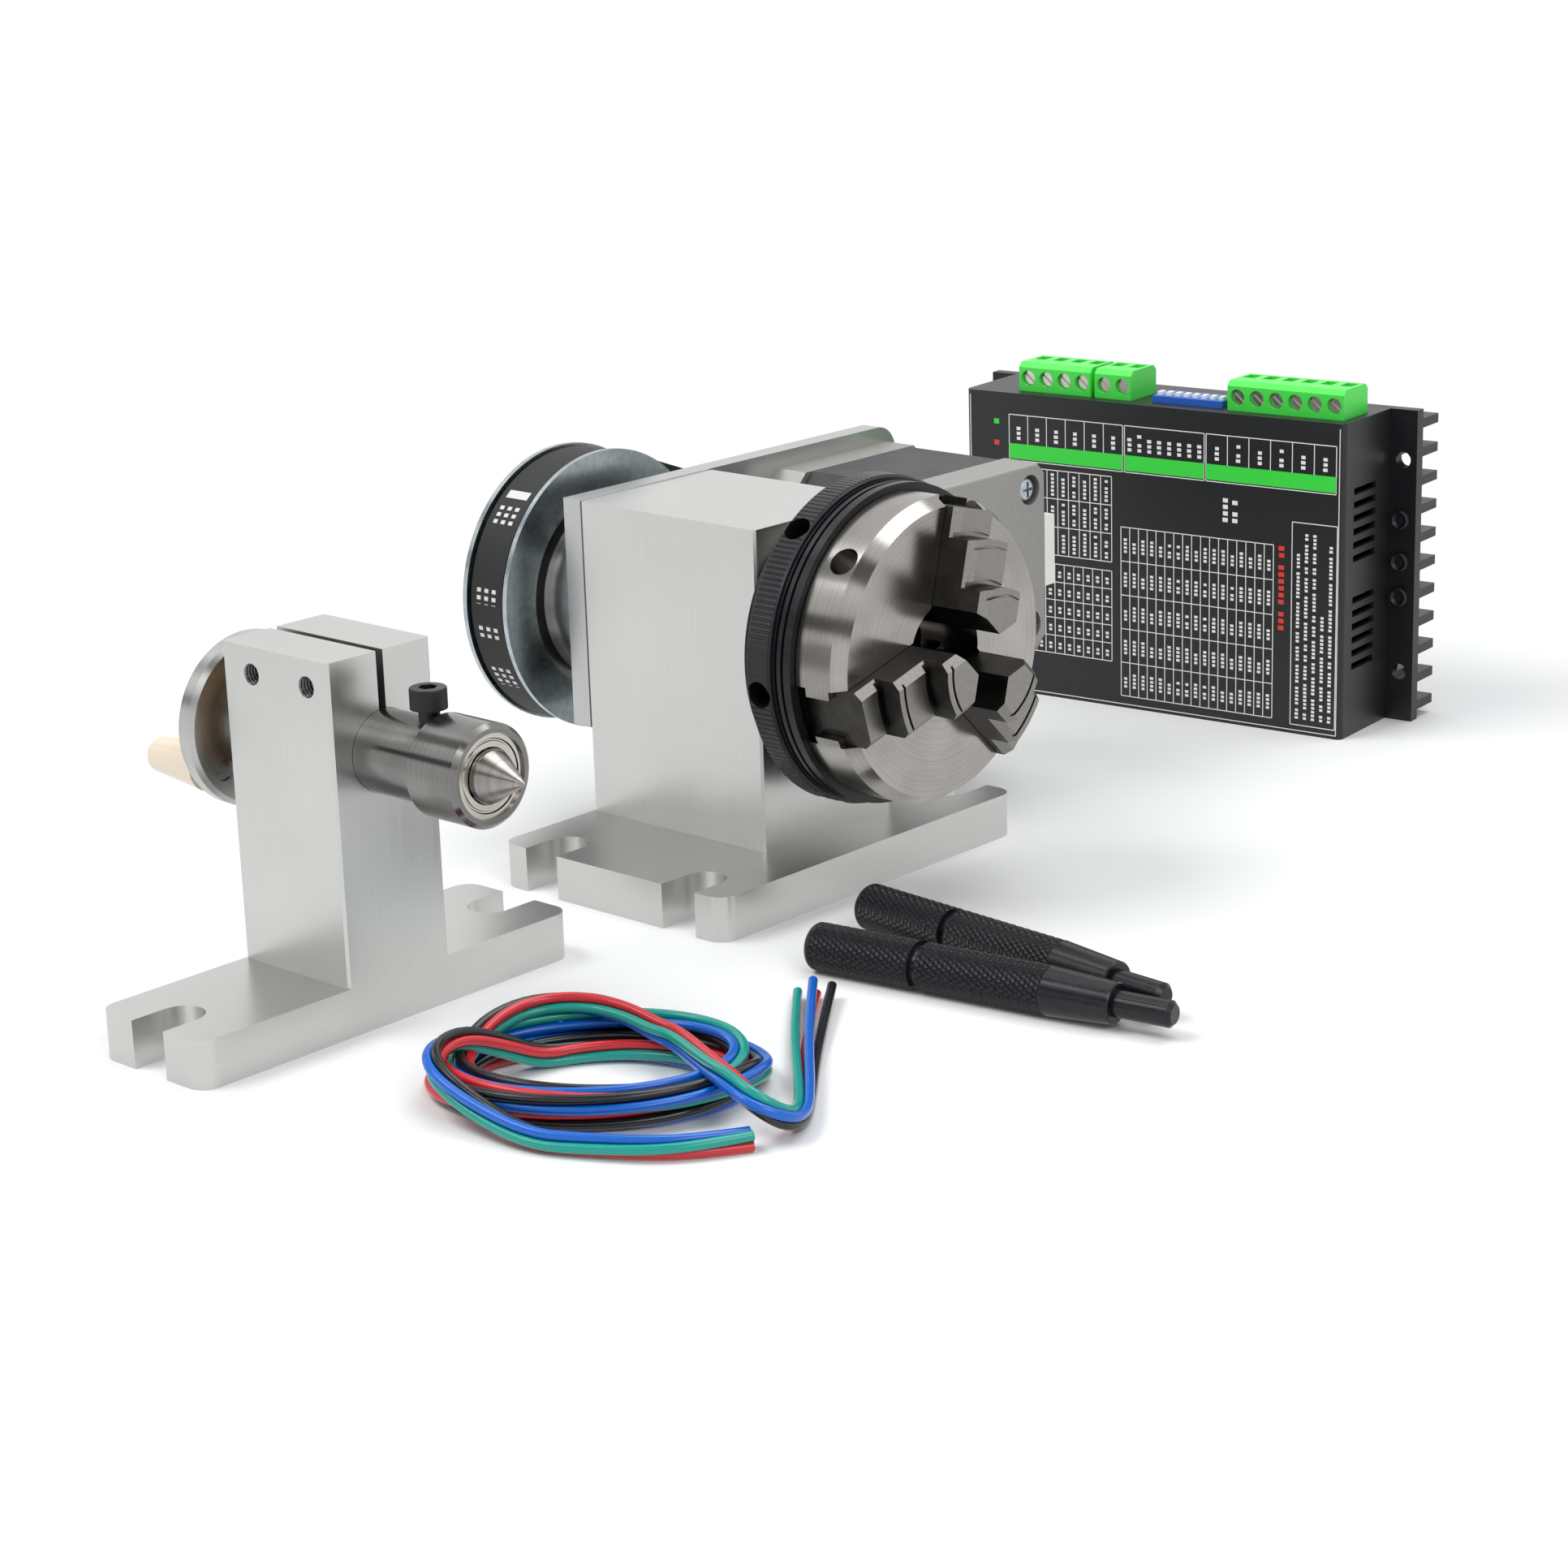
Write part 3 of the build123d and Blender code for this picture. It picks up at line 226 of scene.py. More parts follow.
def card(name, place, tilt, size, hex_colour):
    """A board along X that only reflections see, as dark or light as its colour says."""
    bpy.ops.object.select_all(action="DESELECT")
    bpy.ops.mesh.primitive_plane_add(size=1.0)
    board = bpy.context.object
    board.name = name
    board.scale = (size[0], size[1], 1)
    board.location = place
    board.rotation_euler = (radians(tilt), 0, 0)
    cloth = bpy.data.materials.new(name)
    cloth.use_nodes = True
    cloth.node_tree.nodes.clear()
    shade = node(cloth, "ShaderNodeEmission", {"Color": linear(hex_colour), "Strength": 1.0})
    node(cloth, "ShaderNodeOutputMaterial", {"Surface": shade.outputs[0]})
    board.data.materials.append(cloth)
    board.visible_camera = False
    board.visible_shadow = False
    board.visible_diffuse = False
    board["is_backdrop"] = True


softbox("key", (-0.42, -0.50, 0.95), (0, 0, 0.05), (0.7, 0.5), KEY_WATTS)
softbox("front", (0.90, -0.35, 0.75), (0.05, 0, 0.05), (0.5, 0.5), FRONT_WATTS)
softbox("top", (0.10, 0.35, 1.10), (0.05, 0, 0), (0.8, 0.8), TOP_WATTS)
card("black_card", (-0.50, -0.37, 0.70), -25.0, (2.6, 0.40), "#040404")
card("grey_card", (-0.50, -0.86, 0.42), -65.0, (2.6, 0.30), "#5A5B5C")

# %% [markdown]
# The motor lead is four thin PVC wires, about 0.8 m long, wound loosely and
# thrown on the floor. The four lie together as a slack, slowly turning bundle.
# Each wire is one NURBS curve. Its loose ends follow listed points. A loop
# works out the turns: three side by side on the floor, then two on top of them,
# and then the bundle crosses over the back of the coil and out to its end.

# %% Route of the lead
WIRE_R = 0.95
COIL_MIDDLE = Vector((67.5, -118.0, 0.0))
COIL_LONG = 32.5
COIL_SHORT = 25.2
COIL_TURN = radians(37.0)
STEP = 22.5
START_ANGLE = -232.0
TAIL_B = [(107.6, -121.5, 2.0), (103.4, -128.8, 2.0), (97.0, -135.6, 2.0), (87.6, -140.8, 2.0),
          (78.5, -145.3, 2.2)]
# Angle in the coil, distance in from its edge and height above the floor
WRAP = [(-126, 0.2, 4.6), (-145, -0.2, 8.6), (-164, 2.8, 9.8), (-184, 7.8, 9.6), (-206, 12.6, 6.2)]
# The same for the turns, by how many degrees the bundle has gone round
STATIONS = [(0, 12.4, 2.2), (40, 10.4, 2.0), (250, 10.0, 2.0), (330, 6.0, 2.0), (600, 6.0, 2.0),
            (680, 2.0, 2.0), (820, 2.0, 2.0), (870, 4.0, 5.6), (1150, 4.0, 5.6), (1220, 8.0, 5.6),
            (1390, 7.6, 5.6), (1424, 6.0, 8.4), (1448, 3.6, 9.4), (1468, 5.4, 9.4),
            (1486, 9.2, 8.6), (1504, 12.2, 7.0), (1520, 13.2, 6.6)]
LAST_EVEN = 1410
TAIL_A = [(90.2, -112.6, 8.0), (98.6, -117.4, 9.5), (106.0, -119.8, 8.2), (110.2, -116.2, 4.6),
          (108.2, -109.6, 2.2), (101.8, -101.4, 2.0), (90.0, -88.2, 2.0), (78.0, -73.8, 2.0),
          (66.8, -59.6, 2.0)]
long_way = Vector((cos(COIL_TURN), sin(COIL_TURN), 0))
short_way = Vector((-sin(COIL_TURN), cos(COIL_TURN), 0))


def in_coil(angle, inset, height):
    """A point of the coil in millimetres, so far in from its edge and so high."""
    turn = radians(angle)
    out_long = long_way * ((COIL_LONG - inset) * cos(turn))
    out_short = short_way * ((COIL_SHORT - inset) * sin(turn))
    return COIL_MIDDLE + (out_long + out_short) + Vector((0, 0, height))


def bundle_route():
    """The middle of the four wires, from end B to end A."""
    route = [Vector(p) for p in TAIL_B] + [in_coil(*p) for p in WRAP]
    gone_round = [STEP * k for k in range(int(LAST_EVEN / STEP) + 1)]
    gone_round += [p[0] for p in STATIONS if p[0] > LAST_EVEN]
    for here in gone_round:
        k = max(i for i in range(len(STATIONS) - 1) if STATIONS[i][0] <= here)
        before, after = STATIONS[k], STATIONS[k + 1]
        t = (here - before[0]) / (after[0] - before[0])
        t = t * t * (3 - 2 * t)
        inset = before[1] + (after[1] - before[1]) * t
        height = before[2] + (after[2] - before[2]) * t
        route.append(in_coil(START_ANGLE - here, inset, height))
    return route + [Vector(p) for p in TAIL_A]


middle = bundle_route()
print("route points", len(middle))

# %% [markdown]
# PVC insulation is extruded, so it is smooth, with a soft even shine. Black,
# blue, green and red are the usual colours of a stepper motor's four leads.
# A curve with a round bevel is a wire with a few points to move. Each wire
# turns slowly round the middle line of the bundle, so that the colours change
# places along the coil as they do in a real one.

# %% Motor lead
WIRES = {"blue": "#0062C8", "green": "#009A8C", "red": "#CF2530", "black": "#15171B"}
# Radians from one point of the route to the next
BUNDLE_TWIST = 0.3
# Four wires that touch lie this many wire radii from the middle of the bundle
STRAND_OUT = 1.42
FLOOR_GAP = 0.02
# The wires fan out a little over the last points of the route
END_FAN, FAN_POINTS = 0.5, 3


def strand(wire):
    """The route of one wire, beside the bundle's middle line."""
    route = []
    for k, here in enumerate(middle):
        ahead = (middle[min(k + 1, len(middle) - 1)] - middle[max(k - 1, 0)]).normalized()
        side = ahead.cross(Vector((0, 0, 1))).normalized()
        up = side.cross(ahead)
        turn = pi / 4 + wire * pi / 2 + BUNDLE_TWIST * k
        offset = side * cos(turn) + up * sin(turn)
        left = len(middle) - 1 - k
        spread = 1.0 + END_FAN * max(0, FAN_POINTS - left) * abs(cos(turn))
        point = here + offset * (STRAND_OUT * WIRE_R * spread)
        route.append(Vector((point.x, point.y, max(point.z, WIRE_R + FLOOR_GAP))))
    return route


def wire_curve(name, route):
    """A round wire along a smooth NURBS curve."""
    curve = bpy.data.curves.new(name, "CURVE")
    curve.dimensions = "3D"
    curve.bevel_depth = WIRE_R * MM
    curve.bevel_resolution = 3
    curve.resolution_u = 5
    curve.use_fill_caps = True
    line = curve.splines.new("NURBS")
    line.points.add(len(route) - 1)
    for k, here in enumerate(route):
        line.points[k].co = (*(here * MM), 1.0)
    line.order_u = 3
    line.use_endpoint_u = True
    made = bpy.data.objects.new(name, curve)
    bpy.context.collection.objects.link(made)
    return made


for number, (colour, hex_colour) in enumerate(WIRES.items()):
    route = strand(number)
    wire = wire_curve(f"motor_wire_{colour}", route)
    pvc, pvc_skin, place = blank(f"pvc_{colour}", hex_colour, Roughness=0.32, IOR=1.53)
    grain = node(pvc, "ShaderNodeTexNoise", {"Vector": place, "Scale": per_mm(1.2), "Detail": 2.0})
    node(pvc, "ShaderNodeMapRange", {0: grain.outputs[0], 3: 0.16, 4: 0.28},
         to=pvc_skin.inputs["Roughness"])
    node(pvc, "ShaderNodeBump",
         {"Height": grain.outputs[0], "Strength": 0.2, "Distance": 0.05 * MM},
         to=pvc_skin.inputs["Normal"])
    wire.data.materials.append(pvc)
    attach(wire, "frame")
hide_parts("motor_lead_coil", "motor_lead_tail_a", "motor_lead_tail_b")

# %% [markdown]
# The blocks and bases are sawn from bar and milled, then ground with a fine
# belt. What the eye sees is a soft grey mirror with faint lines all one way and
# slow changes of tone. The lines are a noise stretched along the grain, 0.3 mm
# apart, which is coarser than the real grain so that it shows in the picture.

# %% Milled aluminium
def milled_aluminium(name, grain, light="#D0D1CE", dark="#C3C4C1", low=0.28, high=0.34):
    """Belt ground aluminium; grain is the length of its lines in millimetres along X, Y and Z."""
    metal, skin, place = blank(name, light, Metallic=1.0)
    stretch = node(metal, "ShaderNodeMapping",
                   {"Vector": place, "Scale": [per_mm(g) for g in grain]})
    lines = node(metal, "ShaderNodeTexNoise",
                 {"Vector": stretch.outputs[0], "Scale": 1.0, "Detail": 3.0, "Roughness": 0.6})
    cloud = node(metal, "ShaderNodeTexNoise",
                 {"Vector": place, "Scale": per_mm(26.0), "Detail": 3.0})
    tone = node(metal, "ShaderNodeMath", {0: lines.outputs[0], 1: cloud.outputs[0]},
                operation="ADD")
    tone = node(metal, "ShaderNodeMapRange", {0: tone.outputs[0], 1: 0.45, 2: 1.55})
    node(metal, "ShaderNodeMix", {0: tone.outputs[0], 6: linear(dark), 7: linear(light)},
         to=skin.inputs["Base Color"], out=2, data_type="RGBA")
    node(metal, "ShaderNodeMapRange", {0: lines.outputs[0], 1: 0.3, 2: 0.7, 3: low, 4: high},
         to=skin.inputs["Roughness"])
    node(metal, "ShaderNodeBump",
         {"Height": lines.outputs[0], "Strength": 0.2, "Distance": 0.006 * MM},
         to=skin.inputs["Normal"])
    return metal


finish(milled_aluminium("milled_aluminium_upright", (0.3, 0.3, 22.0)),
       "headstock_block", "tailstock_block")
finish(milled_aluminium("milled_aluminium_flat", (0.3, 24.0, 0.3)), "headstock_base",
       "tailstock_base")
finish(milled_aluminium("aluminium_sheet", (0.3, 20.0, 20.0), "#C4C5C3", "#B4B5B3"), "motor_plate")

# %% [markdown]
# Turned parts carry very fine rings from the lathe tool. They scatter light
# across the rings far more than along them, which draws the bright and dark
# bands out along the shaft and makes wedges of light on a flat face. That is
# anisotropy with a tangent that runs round the axis. The rings themselves are
# noise that depends only on the distance from the axis and the place along it.

# %% Turned metal
TURNED_Y = {"spindle": 0.0, "tailstock": TAIL_Y, "motor": MOTOR_Y}


def turned_metal(name, axis, light, dark, roughness, stretch, ring=0.35, depth=0.012):
    """Lathe turned metal; ring is the spacing of the tool marks in millimetres."""
    metal, skin, place = blank(name, light, Metallic=1.0, Roughness=roughness, Anisotropic=stretch,
                               Anisotropic_Rotation=0.25)
    spoke = node(metal, "ShaderNodeVectorMath",
                 {0: place, 1: (0, TURNED_Y[axis] * MM, AXIS_Z * MM)},
                 operation="SUBTRACT")
    flat = node(metal, "ShaderNodeVectorMath", {0: spoke.outputs[0], 1: (0, 1, 1)},
                operation="MULTIPLY")
    radius = node(metal, "ShaderNodeVectorMath", {0: flat.outputs[0]}, operation="LENGTH")
    along = node(metal, "ShaderNodeSeparateXYZ", {0: place})
    both = node(metal, "ShaderNodeMath", {0: radius.outputs["Value"], 1: along.outputs[0]},
                operation="ADD")
    rings = node(metal, "ShaderNodeTexNoise",
                 {"W": both.outputs[0], "Scale": per_mm(ring), "Detail": 3.0, "Roughness": 0.65},
                 noise_dimensions="1D")
    cloud = node(metal, "ShaderNodeTexNoise",
                 {"Vector": place, "Scale": per_mm(14.0), "Detail": 2.0})
    tone = node(metal, "ShaderNodeMath", {0: rings.outputs[0], 1: cloud.outputs[0]},
                operation="ADD")
    tone = node(metal, "ShaderNodeMapRange", {0: tone.outputs[0], 1: 0.7, 2: 1.3})
    node(metal, "ShaderNodeMix", {0: tone.outputs[0], 6: linear(dark), 7: linear(light)},
         to=skin.inputs["Base Color"], out=2, data_type="RGBA")
    node(metal, "ShaderNodeBump",
         {"Height": rings.outputs[0], "Strength": 0.3, "Distance": depth * MM},
         to=skin.inputs["Normal"])
    node(metal, "ShaderNodeTangent", to=skin.inputs["Tangent"], direction_type="RADIAL", axis="X")
    return metal


finish(turned_metal("ground_chuck_steel", "spindle", "#ACA9A5", "#8F8C88", 0.21, 0.6), "chuck_body")
finish(turned_metal("turned_spindle_steel", "spindle", "#B9B7B3", "#9F9D99", 0.28, 0.5), "spindle",
       "spindle_bearing_inner_rings", "spindle_bearing_outer_rings")
finish(turned_metal("turned_pulley_aluminium", "spindle", "#C3C4C2", "#A6A7A6", 0.30, 0.5),
       "spindle_pulley")
finish(turned_metal("turned_quill_steel", "tailstock", "#8F8E8C", "#6E6D6B", 0.20, 0.6,
                    ring=0.3), "quill")
finish(turned_metal("ground_bearing_steel", "tailstock", "#C8C6BE", "#B5B2A8", 0.16, 0.3),
       "center_bearing_outer_rings", "center_bearing_inner_rings")
finish(turned_metal("turned_center_steel", "tailstock", "#A9A6A2", "#84817D", 0.30, 0.6,
                    ring=0.42, depth=0.03), "live_center")
finish(turned_metal("turned_wheel_aluminium", "tailstock", "#C6C7C5", "#ADAEAC", 0.30, 0.5),
       "handwheel")
finish(turned_metal("rolled_leadscrew_steel", "tailstock", "#A9A7A3", "#8C8A86", 0.30, 0.3,
                    ring=1.5, depth=0.15), "leadscrew")
finish(turned_metal("turned_motor_steel", "motor", "#B5B3AF", "#9B9995", 0.28, 0.5), "motor_shaft",
       "motor_rotor", "motor_bearings", "motor_pulley")

# %% [markdown]
# Bearing balls are lapped chrome steel, almost a mirror, and the nut that the
# screw runs in is bronze, warm and a little dull, with a grain of fine casting.
# Both could be one plain metal each. A noise of about half a millimetre in the
# roughness or the colour keeps them from looking like chrome paint.

# %% Balls and bronze
lapped, skin, place = blank("lapped_ball_steel", "#CFCFCB", Metallic=1.0, Roughness=0.08)
haze = node(lapped, "ShaderNodeTexNoise", {"Vector": place, "Scale": per_mm(0.6), "Detail": 2.0})
node(lapped, "ShaderNodeMapRange", {0: haze.outputs[0], 3: 0.05, 4: 0.16},
     to=skin.inputs["Roughness"])
finish(lapped, "spindle_bearing_balls", "center_bearing_balls")

bronze, skin, place = blank("cast_bronze", "#B9854A", Metallic=1.0, Roughness=0.36)
grain = node(bronze, "ShaderNodeTexNoise", {"Vector": place, "Scale": per_mm(0.5), "Detail": 3.0})
node(bronze, "ShaderNodeMix", {0: grain.outputs[0], 6: linear("#9C6C38"), 7: linear("#C9965A")},
     to=skin.inputs["Base Color"], out=2, data_type="RGBA")
node(bronze, "ShaderNodeBump", {"Height": grain.outputs[0], "Strength": 0.3, "Distance": 0.03 * MM},
     to=skin.inputs["Normal"])
finish(bronze, "screw_bush")

# %% [markdown]
# Chuck jaws are case hardened, which leaves their sides a dark oily grey. Only
# the faces that grip and the steps are ground bright afterwards, with fine
# lines across them. The faces that look out of the chuck show which is which,
# so the normal of the surface chooses between the two finishes.

# %% Hardened and ground jaws
jaw_steel, skin, place = blank("hardened_jaw_steel", "#6E6C69", Metallic=1.0)
normal = node(jaw_steel, "ShaderNodeTexCoord").outputs["Normal"]
facing = node(jaw_steel, "ShaderNodeSeparateXYZ", {0: normal})
ground = node(jaw_steel, "ShaderNodeMapRange", {0: facing.outputs[0], 1: 0.25, 2: 0.6})
stretch = node(jaw_steel, "ShaderNodeMapping",
               {"Vector": place, "Scale": (per_mm(6), per_mm(0.3), per_mm(0.3))})
lines = node(jaw_steel, "ShaderNodeTexNoise",
             {"Vector": stretch.outputs[0], "Scale": 1.0, "Detail": 3.0})
stain = node(jaw_steel, "ShaderNodeTexNoise",
             {"Vector": place, "Scale": per_mm(4.0), "Detail": 4.0})
hard = node(jaw_steel, "ShaderNodeMix",
            {0: stain.outputs[0], 6: linear("#2C2B2A"), 7: linear("#575553")}, data_type="RGBA")
bright = node(jaw_steel, "ShaderNodeMix",
              {0: lines.outputs[0], 6: linear("#6F6D6A"), 7: linear("#9E9B96")}, data_type="RGBA")
node(jaw_steel, "ShaderNodeMix", {0: ground.outputs[0], 6: hard.outputs[2], 7: bright.outputs[2]},
     to=skin.inputs["Base Color"], out=2, data_type="RGBA")
node(jaw_steel, "ShaderNodeMapRange", {0: stain.outputs[0], 3: 0.26, 4: 0.44},
     to=skin.inputs["Roughness"])
node(jaw_steel, "ShaderNodeBump",
     {"Height": lines.outputs[0], "Strength": 0.3, "Distance": 0.03 * MM},
     to=skin.inputs["Normal"])
finish(jaw_steel, "jaw_1", "jaw_2", "jaw_3")

# %% [markdown]
# Black oxide is a thin blue-black skin on steel, kept under oil. It is nearly
# black, with a satin shine and faint mottling. The socket screws, the locknut,
# the chuck's back plate and its scroll ring have it. The ring is knurled with
# straight ridges for the fingers. About 180 of them fit its circumference, and
# a sine wave over the angle round the axis raises them.

# %% Black oxide and the knurled scroll ring
def black_oxide(name, low=0.30, high=0.46):
    """Oiled black oxide on steel, with its shader and coordinates."""
    oxide, skin, place = blank(name, "#131417", Metallic=0.35, Specular_IOR_Level=0.5)
    mottle = node(oxide, "ShaderNodeTexNoise",
                  {"Vector": place, "Scale": per_mm(1.6), "Detail": 4.0})
    node(oxide, "ShaderNodeMix", {0: mottle.outputs[0], 6: linear("#0C0D0F"), 7: linear("#212328")},
         to=skin.inputs["Base Color"], out=2, data_type="RGBA")
    node(oxide, "ShaderNodeMapRange", {0: mottle.outputs[0], 3: low, 4: high},
         to=skin.inputs["Roughness"])
    return oxide, skin, place


oxide, skin, place = black_oxide("black_oxide_steel")
finish(oxide, "headstock_base_screws", "tailstock_base_screws", "plate_screws",
       "motor_mount_screws", "chuck_screws", "spindle_locknut", "pulley_set_screws",
       "motor_pulley_set_screws", "tailstock_clamp_screws", "quill_lock_screw",
       "chuck_back_plate")


def within(owner, value, low, high):
    """1 where a value of the finish lies between two bounds, else 0."""
    over = node(owner, "ShaderNodeMath", {0: value, 1: low}, operation="GREATER_THAN")
    under = node(owner, "ShaderNodeMath", {0: value, 1: high}, operation="LESS_THAN")
    both = node(owner, "ShaderNodeMath", {0: over.outputs[0], 1: under.outputs[0]},
                operation="MULTIPLY")
    return both.outputs[0]


KNURL_RIDGES = 180
KNURL_FROM, KNURL_TO = 27.9, 33.2
KNURL_DEEP = 0.14
ring_oxide, skin, place = black_oxide("knurled_black_oxide", 0.26, 0.40)
spot = node(ring_oxide, "ShaderNodeSeparateXYZ", {0: place})
above = node(ring_oxide, "ShaderNodeMath", {0: spot.outputs[2], 1: AXIS_Z * MM},
             operation="SUBTRACT")
angle = node(ring_oxide, "ShaderNodeMath", {0: spot.outputs[1], 1: above.outputs[0]},
             operation="ARCTAN2")
wave = node(ring_oxide, "ShaderNodeMath", {0: angle.outputs[0], 1: float(KNURL_RIDGES)},
            operation="MULTIPLY")
wave = node(ring_oxide, "ShaderNodeMath", {0: wave.outputs[0]}, operation="SINE")
band = within(ring_oxide, spot.outputs[0], KNURL_FROM * MM, KNURL_TO * MM)
ridges = node(ring_oxide, "ShaderNodeMath", {0: wave.outputs[0], 1: band}, operation="MULTIPLY")
node(ring_oxide, "ShaderNodeBump",
     {"Height": ridges.outputs[0], "Strength": 1.0, "Distance": KNURL_DEEP * MM},
     to=skin.inputs["Normal"])
finish(ring_oxide, "scroll_ring")

# %% [markdown]
# Bright zinc plating is silver with a cold blue tint and a faint spangle. The
# pulley's pressed flanges have it, and so have the motor's cross head screws.
# The screws of the terminals are nickel plated brass, warmer and more even.
# A cell pattern times a soft noise gives the spangle without a picture of it.

# %% Zinc and nickel plating
zinc, skin, place = blank("bright_zinc_plating", "#B5BCBF", Metallic=1.0)
spangle = node(zinc, "ShaderNodeTexVoronoi", {"Vector": place, "Scale": per_mm(1.4)})
cloud = node(zinc, "ShaderNodeTexNoise", {"Vector": place, "Scale": per_mm(6.0), "Detail": 3.0})
shade = node(zinc, "ShaderNodeMath", {0: spangle.outputs["Distance"], 1: cloud.outputs[0]},
             operation="MULTIPLY")
node(zinc, "ShaderNodeMix", {0: shade.outputs[0], 6: linear("#BCC5C8"), 7: linear("#8B979C")},
     to=skin.inputs["Base Color"], out=2, data_type="RGBA")
node(zinc, "ShaderNodeMapRange", {0: cloud.outputs[0], 3: 0.20, 4: 0.36},
     to=skin.inputs["Roughness"])
finish(zinc, "pulley_flanges", "motor_case_screws", "crank_handle_screw")

nickel, skin, place = blank("nickel_plated_brass", "#CDCBC3", Metallic=1.0)
haze = node(nickel, "ShaderNodeTexNoise", {"Vector": place, "Scale": per_mm(0.8), "Detail": 2.0})
node(nickel, "ShaderNodeMapRange", {0: haze.outputs[0], 3: 0.16, 4: 0.32},
     to=skin.inputs["Roughness"])
finish(nickel, "terminal_screws")

# %% [markdown]
# The motor is a stack of thin steel sheets between two die cast covers. The
# covers are shot blasted, an even dull grey with a grain of about 0.4 mm. The
# stack is dark and shows its sheets, each 0.5 mm thick, as lines round it.
# Dozens of thin solids would be slow to draw, so a sine wave along the motor
# raises the lines instead.

# %% Motor covers and laminations
cast, skin, place = blank("blasted_die_cast", "#A09F9C", Metallic=0.9)
grit = node(cast, "ShaderNodeTexNoise", {"Vector": place, "Scale": per_mm(0.4), "Detail": 3.0})
node(cast, "ShaderNodeMix", {0: grit.outputs[0], 6: linear("#888785"), 7: linear("#B0AFAC")},
     to=skin.inputs["Base Color"], out=2, data_type="RGBA")
node(cast, "ShaderNodeMapRange", {0: grit.outputs[0], 3: 0.42, 4: 0.58},
     to=skin.inputs["Roughness"])
node(cast, "ShaderNodeBump", {"Height": grit.outputs[0], "Strength": 0.4, "Distance": 0.06 * MM},
     to=skin.inputs["Normal"])
finish(cast, "motor_front_cover", "motor_rear_cover")

SHEET = 0.5
stack, skin, place = blank("laminated_steel", "#3A3B3D", Metallic=0.6, Roughness=0.5)
spot = node(stack, "ShaderNodeSeparateXYZ", {0: place})
sheets = node(stack, "ShaderNodeMath", {0: spot.outputs[0], 1: tau / (SHEET * MM)},
              operation="MULTIPLY")
sheets = node(stack, "ShaderNodeMath", {0: sheets.outputs[0]}, operation="SINE")
oil = node(stack, "ShaderNodeTexNoise", {"Vector": place, "Scale": per_mm(7.0), "Detail": 3.0})
node(stack, "ShaderNodeMix", {0: oil.outputs[0], 6: linear("#2B2C2E"), 7: linear("#4B4C4E")},
     to=skin.inputs["Base Color"], out=2, data_type="RGBA")
node(stack, "ShaderNodeBump", {"Height": sheets.outputs[0], "Strength": 0.5, "Distance": 0.05 * MM},
     to=skin.inputs["Normal"])
finish(stack, "motor_stator")

# %% [markdown]
# The timing belt is black rubber with a cloth grain, and its back carries a white
# bar and rows of short dashes. A flat picture wrapped round the belt could show
# them. Here their places are worked out from the angle round the big pulley and
# the place across the belt, so that they stay sharp and at their real size.

# %% Timing belt
BELT_R = 30.15
BAR_ARC, BAR_ACROSS = (19.5, 21.6), (-55.0, -48.6)
DASH_ARCS = ((23.5, 28.5), (42.5, 46.0), (50.5, 53.5), (61.0, 66.5))
DASH_ROWS = (-54.2, -51.9, -49.6)
DASH_PITCH = 1.7
DASH_HALF = 0.6
RUBBER, BELT_PAINT = "#101113", "#D9D9D4"
belt, skin, place = blank("belt_rubber", RUBBER, Roughness=0.62)
spot = node(belt, "ShaderNodeSeparateXYZ", {0: place})
across = spot.outputs[0]
front = node(belt, "ShaderNodeMath", {0: spot.outputs[1], 1: -1.0}, operation="MULTIPLY")
above = node(belt, "ShaderNodeMath", {0: spot.outputs[2], 1: AXIS_Z * MM}, operation="SUBTRACT")
angle = node(belt, "ShaderNodeMath", {0: front.outputs[0], 1: above.outputs[0]},
             operation="ARCTAN2")
arc = node(belt, "ShaderNodeMath", {0: angle.outputs[0], 1: BELT_R},
           operation="MULTIPLY").outputs[0]
tick = node(belt, "ShaderNodeMath", {0: arc, 1: tau / DASH_PITCH}, operation="MULTIPLY")
tick = node(belt, "ShaderNodeMath", {0: tick.outputs[0]}, operation="SINE")
# A dash is a little longer than the gap after it, so the wave may dip below zero
dashed = within(belt, tick.outputs[0], -0.1, 2.0)
bar_long = within(belt, arc, *BAR_ARC)
bar_wide = within(belt, across, BAR_ACROSS[0] * MM, BAR_ACROSS[1] * MM)
marks = node(belt, "ShaderNodeMath", {0: bar_long, 1: bar_wide}, operation="MULTIPLY").outputs[0]
for start, end in DASH_ARCS:
    for row in DASH_ROWS:
        in_arc = within(belt, arc, start, end)
        in_row = within(belt, across, (row - DASH_HALF) * MM, (row + DASH_HALF) * MM)
        dash = node(belt, "ShaderNodeMath", {0: in_arc, 1: dashed}, operation="MULTIPLY")
        dash = node(belt, "ShaderNodeMath", {0: dash.outputs[0], 1: in_row}, operation="MULTIPLY")
        marks = node(belt, "ShaderNodeMath", {0: marks, 1: dash.outputs[0]}, operation="MAXIMUM")
        marks = marks.outputs[0]
node(belt, "ShaderNodeMix", {0: marks, 6: linear(RUBBER), 7: linear(BELT_PAINT)},
     to=skin.inputs["Base Color"], out=2, data_type="RGBA")
cloth = node(belt, "ShaderNodeTexNoise", {"Vector": place, "Scale": per_mm(0.35), "Detail": 2.0})
node(belt, "ShaderNodeBump", {"Height": cloth.outputs[0], "Strength": 0.4, "Distance": 0.05 * MM},
     to=skin.inputs["Normal"])
finish(belt, "timing_belt")

# %% [markdown]
# The driver's cover is sheet aluminium with black powder coat, which has a
# satin orange peel of about 0.6 mm. Its heat sink is black anodised, a harder
# and slightly metallic black with the faint lines of extrusion along it. Two
# blacks of one colour would run together, so the shine tells them apart: an
# even noise for the coat, and one stretched along the fins for the heat sink.

